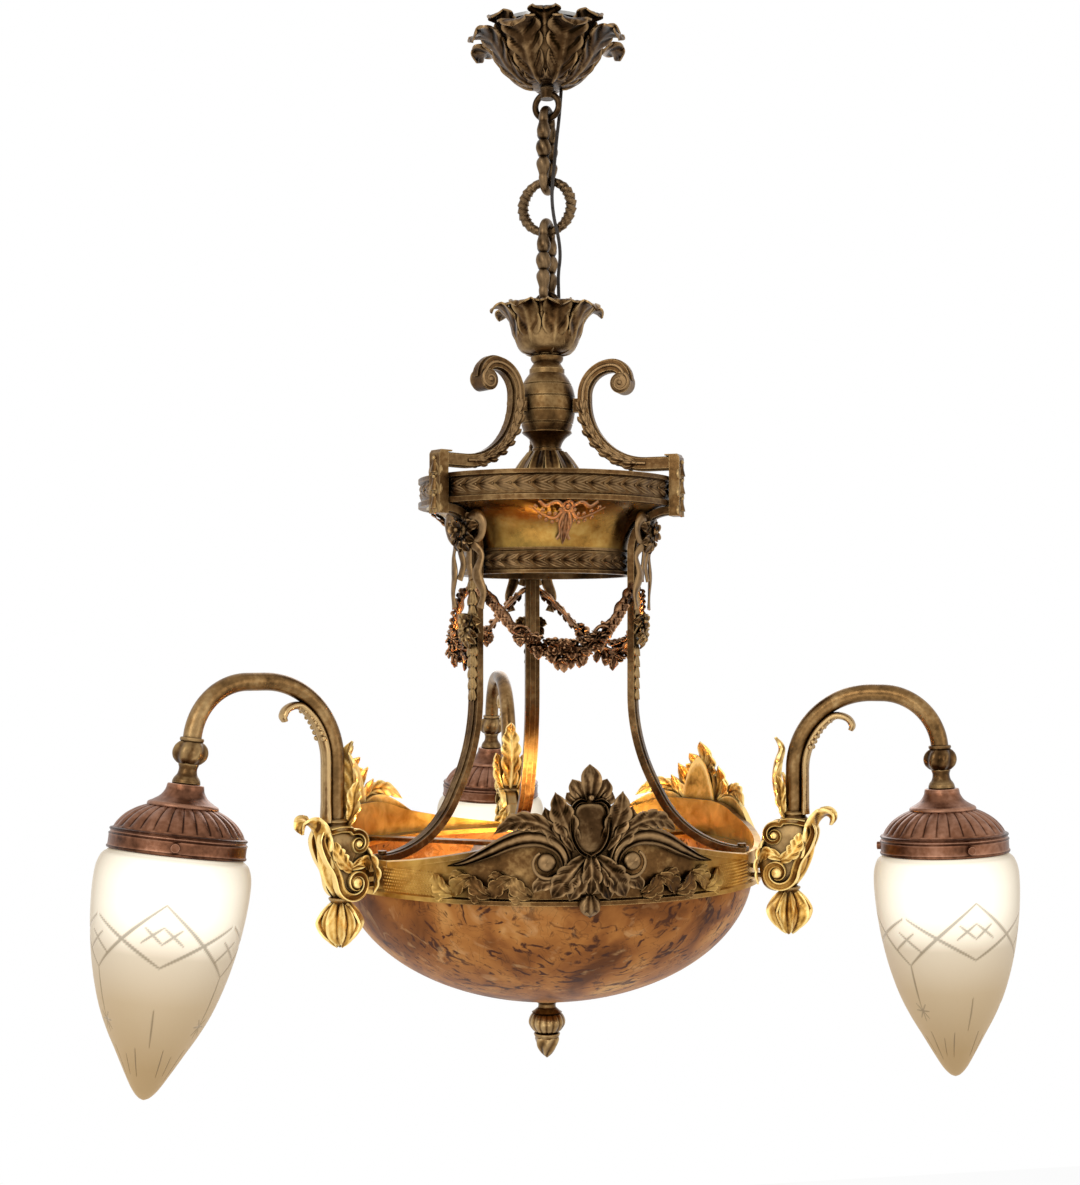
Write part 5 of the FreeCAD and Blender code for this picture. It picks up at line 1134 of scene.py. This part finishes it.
def gallery():
    """The spun cap: a fluted dome between a conical collar and a plain rolled rim, in lamp space."""
    top, foot = GALLERY_TOP, GALLERY_FOOT
    rim = foot + GALLERY_RIM
    collar = lathe([(9.2, top), (13.0, top), (13.8, top - 1.6), (14.6, top - 5), (17.6, top - 9.5),
        (22.6, top - 13), (25.6, top - 14.6), (26.6, top - 16.4), (25.6, top - 18), (20, top - 18.2)], 96)

    def flutes(angle, share):
        body = np.sin(np.pi * np.clip((share - 0.05) / 0.88, 0, 1)) ** 0.45
        return body * (2.1 * np.abs(np.sin(GALLERY_FLUTES / 2 * angle)) ** 0.75 - 1.9)

    dome = lathe([(23, top - 16.4), (27, top - 17.6), (33.5, top - 20.6), (40.5, top - 25.4),
        (46, top - 31.6), (49.2, rim + 2)], GALLERY_FLUTES * 16, flutes, 44)
    skirt = lathe([(46, rim + 3.4), (49.4, rim + 3.2), (51.0, rim + 2), (50.0, rim), (51.3, rim - 1.5),
        (50.9, rim - 3), (50.9, foot + 3.2), (51.6, foot + 1.8), (51.3, foot + 0.4), (50.2, foot + 0.1),
        (49.4, foot + 0.6), (49.4, rim), (46, rim + 1.6), (40, top - 27), (24, top - 19), (20, top - 17)],
        112, samples=90)
    return joined([collar, dome, skirt])


SHADE_LINE = [(48.8, -65.5), (48.8, -75.0), (50.6, -77.2), (54.2, -80.5), (56.9, -88), (57.7, -98),
    (57.3, -112), (55.6, -130), (52.4, -150), (47.7, -170), (41.2, -190), (33.4, -207), (25.0, -222),
    (17.2, -236), (10.0, -248.2), (4.6, -254.4), (0.3, -256.6)]


def shade():
    """The frosted drop with its cuts, and two measures for its finish: cut depth and nearness to the bulb."""
    rows, count = 260, 480
    line = smooth(SHADE_LINE, rows)
    angle = circle(count)[None, :]
    depth_below = -line[:, 1:2]
    cut = shade_cuts(angle, depth_below)
    radius = np.maximum(line[:, :1] - 0.55 * cut, 0.05)
    height = np.broadcast_to(line[:, 1:2], radius.shape)
    outer = np.stack([radius * np.cos(angle), radius * np.sin(angle), height], -1)
    inner_radius = np.maximum(line[:, :1] - 3.0, 0.05) + 0 * angle
    inner_height = np.maximum(line[:, 1:2], -253.4) + 0 * angle
    inner = np.stack([inner_radius * np.cos(angle), inner_radius * np.sin(angle), inner_height], -1)[::7]
    shape = surface(np.concatenate([outer, inner[::-1]]), wrap=True)
    gap = np.linalg.norm(shape[0] - np.array([0, 0, BULB_MIDDLE]), axis=1)
    glow = np.clip((130 - gap) / 72, 0, 1)
    cuts = np.concatenate([cut.ravel(), np.zeros(inner.shape[0] * count)])
    return shape, glow, cuts


def shade_cuts(angle, down):
    """Depth of the cuts from 0 to 1, over the angle and the distance below the arm's end."""
    repeats = 3
    u = (angle / (2 * np.pi) * repeats + 0.5) % 1.0 - 0.5
    pitch = 2 * np.pi * 54 / repeats
    x = u * pitch + 0 * down
    y = down + 0 * angle

    def stroke(ax, ay, bx, by, width=0.75):
        run = np.array([bx - ax, by - ay], float)
        t = np.clip(((x - ax) * run[0] + (y - ay) * run[1]) / (run @ run), 0, 1)
        gap = np.hypot(x - ax - t * run[0], y - ay - t * run[1])
        return np.clip((width * (0.45 + 2.2 * t * (1 - t)) + 0.5 - gap) / 0.7, 0, 1)

    half = pitch / 2
    strokes = [stroke(0, 159, 0, 192, 0.9)]
    for side in (-1, 1):
        strokes += [stroke(side * half, 110, side * 1.5, 159, 1.1),
            stroke(side * 2, 123, side * half, 155, 1.1), stroke(side * -7, 134, side * 13, 149, 0.8),
            stroke(side * half, 126, side * (half - 15), 138, 0.8), stroke(side * half, 138,
            side * (half - 13), 127, 0.8), stroke(side * 37, 216, side * 34, 237, 0.9),
            stroke(side * 20, 221, side * 17, 236, 0.7), stroke(side * half, 186, side * half, 214, 0.7)]
    for ray in range(4):
        a = math.pi * ray / 4
        strokes.append(stroke(-8.5 * math.cos(a), 198 - 8.5 * math.sin(a), 8.5 * math.cos(a),
            198 + 8.5 * math.sin(a), 0.5))
    strokes.append(stroke(0, 216, 0, 240, 0.9))
    return np.max(strokes, axis=0)


def lamps():
    glass, glow, cuts = shade()
    cap, knot = gallery(), knop()
    for name in ARM_AZIMUTHS:
        item = piece(f"shade_{name}_glass", hung(glass, name), "frosted_glass",
            replaces=[f"glass_shade_{name}"])
        for attribute, values in (("glow", glow), ("cut", cuts)):
            layer = item.data.attributes.new(attribute, "FLOAT", "POINT")
            layer.data.foreach_set("value", values.astype(np.float32))
        piece(f"gallery_{name}_cap", hung(cap, name), "copper", replaces=[f"gallery_{name}"])
    arms = ARM_AZIMUTHS.values()
    knots = joined([hung(knot, name) for name in ARM_AZIMUTHS])
    piece("arm_knots", knots, "mid_bronze", replaces=["arm_knops"])
    leaves = joined([arm_stalk(name) for name in ARM_AZIMUTHS])
    piece("arm_acanthus", leaves, "lit_brass", replaces=["arm_leaves"])
    # The arm flames and brackets beside the lamps take the brass with painted lamp light.
    piece("arm_flames", at_all(arm_flame(), arms), "lamp_lit_gold")
    piece("bracket_consoles", at_all(bracket(), arms), "lamp_lit_gold", replaces=["arm_brackets"])
    piece("bracket_cores", at_all(bracket_core(), arms), "aged_brass")


# ---- CAD pieces that stay --------------------------------------------------------------------
def dress_frame():
    arms = list(ARM_AZIMUTHS)
    dress("steel", "ceiling_plate", "hanging_rod", "rod_nuts", "stem_rod", "stem_washer", "bowl_rod")
    dress("porcelain", "terminal_block", "lampholders")
    dress("bulb_glass", "bulbs")
    dress("chain_bronze_plain", "canopy_collar", "canopy_loop", "stem_eye")
    dress("aged_brass_plain", "stem_neck", "stem_urn", "corner_blocks", "bowl_spider", "frame_screws")
    dress("mid_bronze_plain", "corona_top_plate", "corona_upper_band", "corona_lower_band")
    dress("ring_brass", "bowl_ring")
    dress("mid_bronze_plain", *[f"scroll_{arm}" for arm in arms], *[f"strap_{arm}" for arm in arms])
    # The arms take the lighter brass as painted light.
    dress("lit_brass_plain", *[f"arm_{arm}" for arm in arms])
    dress("bright_brass", "corona_drum")
    dress("copper_plain", "gallery_screws")
    dress("alabaster", "alabaster_bowl")


# ---- Room, lights and camera -----------------------------------------------------------------
def looked_at(tree):
    """1 for rays of the camera, of reflections and through glass, else 0."""
    rays = add(tree, "LightPath").outputs
    seen = rays["Is Camera Ray"]
    for ray in ("Is Glossy Ray", "Is Transmission Ray"):
        seen = calc(tree, "MAXIMUM", seen, rays[ray])
    return seen


def white_to_the_camera(tree, shader_output):
    """Shows plain white to the camera and to reflections, and keeps some of the real shading."""
    white = add(tree, "Emission", {"Color": (1, 1, 1, 1), "Strength": 1.0})
    share = calc(tree, "MULTIPLY", looked_at(tree), 0.94)
    blend = add(tree, "MixShader", {0: share, 1: shader_output, 2: white.outputs[0]})
    return blend.outputs[0]


def room():
    mesh = bpy.data.meshes.new("floor")
    size, z = FLOOR_HALF * MM, FLOOR_HEIGHT * MM
    mesh.from_pydata([(-size, -size, z), (size, -size, z), (size, size, z), (-size, size, z)], [],
        [(0, 1, 2, 3)])
    floor = placed("floor", mesh)
    material, tree, shader, _ = new_material("pale_floor")
    feed(tree, shader, Base_Color=(0.85, 0.85, 0.84, 1), Roughness=0.9)
    output = tree.nodes["Material Output"]
    tree.links.new(white_to_the_camera(tree, shader.outputs[0]), output.inputs["Surface"])
    mesh.materials.append(material)
    world = bpy.data.worlds.new("studio")
    bpy.context.scene.world = world
    world.use_nodes = True
    tree = world.node_tree
    strength = scaled(tree, looked_at(tree), 0, 1, 0.4, 1.0)
    background = tree.nodes["Background"]
    background.inputs["Color"].default_value = (1, 1, 1, 1)
    tree.links.new(strength, background.inputs["Strength"])


def area_light(name, place, size, power, colour=(1, 1, 1), target=(0, 0, -0.55)):
    light = bpy.data.lights.new(name, "AREA")
    light.size, light.energy, light.color = size, power, colour
    item = placed(name, light)
    item.location = place
    item.rotation_euler = (Vector(target) - Vector(place)).to_track_quat("-Z", "Y").to_euler()


def inner_light(name, place, power, radius=0.02):
    light = bpy.data.lights.new(name, "POINT")
    light.energy, light.color, light.shadow_soft_size = power, (1.0, 0.70, 0.30), radius
    placed(name, light).location = place


def lights():
    area_light("key", (-1.6, -2.2, 0.5), 1.4, 18, (1, 0.98, 0.95))
    area_light("fill", (2.0, -1.8, -0.2), 1.6, 8, (1, 0.97, 0.93))
    area_light("back", (0.6, 2.2, 0.3), 1.4, 9)
    area_light("from_below", (-0.3, -1.0, -1.42), 1.2, 4, (1, 0.97, 0.92))
    inner_light("bowl_glow", (0, 0, -0.765), 2.3, 0.03)


def camera():
    data = bpy.data.cameras.new("photo_camera")
    data.sensor_width = SENSOR_MM
    data.lens = data.sensor_width * FOCAL_PIXELS / PHOTO_HEIGHT
    data.shift_x = (PHOTO_WIDTH / 2 - AXIS_PIXEL_X) / PHOTO_HEIGHT
    data.shift_y = (HORIZON_PIXEL_Y - PHOTO_HEIGHT / 2) / PHOTO_HEIGHT
    data.clip_end = 20
    item = placed("photo_camera", data)
    a = math.radians(CAMERA_AZIMUTH)
    d = CAMERA_DISTANCE * MM
    item.location = (d * math.sin(a), -d * math.cos(a), CAMERA_HEIGHT * MM)
    item.rotation_euler = (math.pi / 2, 0, a)
    bpy.context.scene.camera = item


dress_frame()
canopy()
leaf_cup()
chain_link("upper_link_knuckles", "upper_chain_link", "upper_link", UPPER_LINK_TOP)
chain_link("lower_link_knuckles", "lower_chain_link", "lower_link", LOWER_LINK_TOP)
wreath_ring("chain_ring_wreath", "chain_ring", "chain_ring", RING_MIDDLE, RING_WIRE_R, RING_LEAVES)
lead()
stem_foot()
bands()
piece("drum_bow_and_drop", drum_swag(), "garland_bronze", replaces=["drum_swags"])
strap_ornaments()
piece("garland_flowers", at_all(garland(), CARTOUCHE_AZIMUTHS.values()), "garland_bronze",
    replaces=["garlands"])
ring_ornaments()
finial()
lamps()
room()
lights()
camera()
bpy.context.scene.view_settings.view_transform = "Standard"
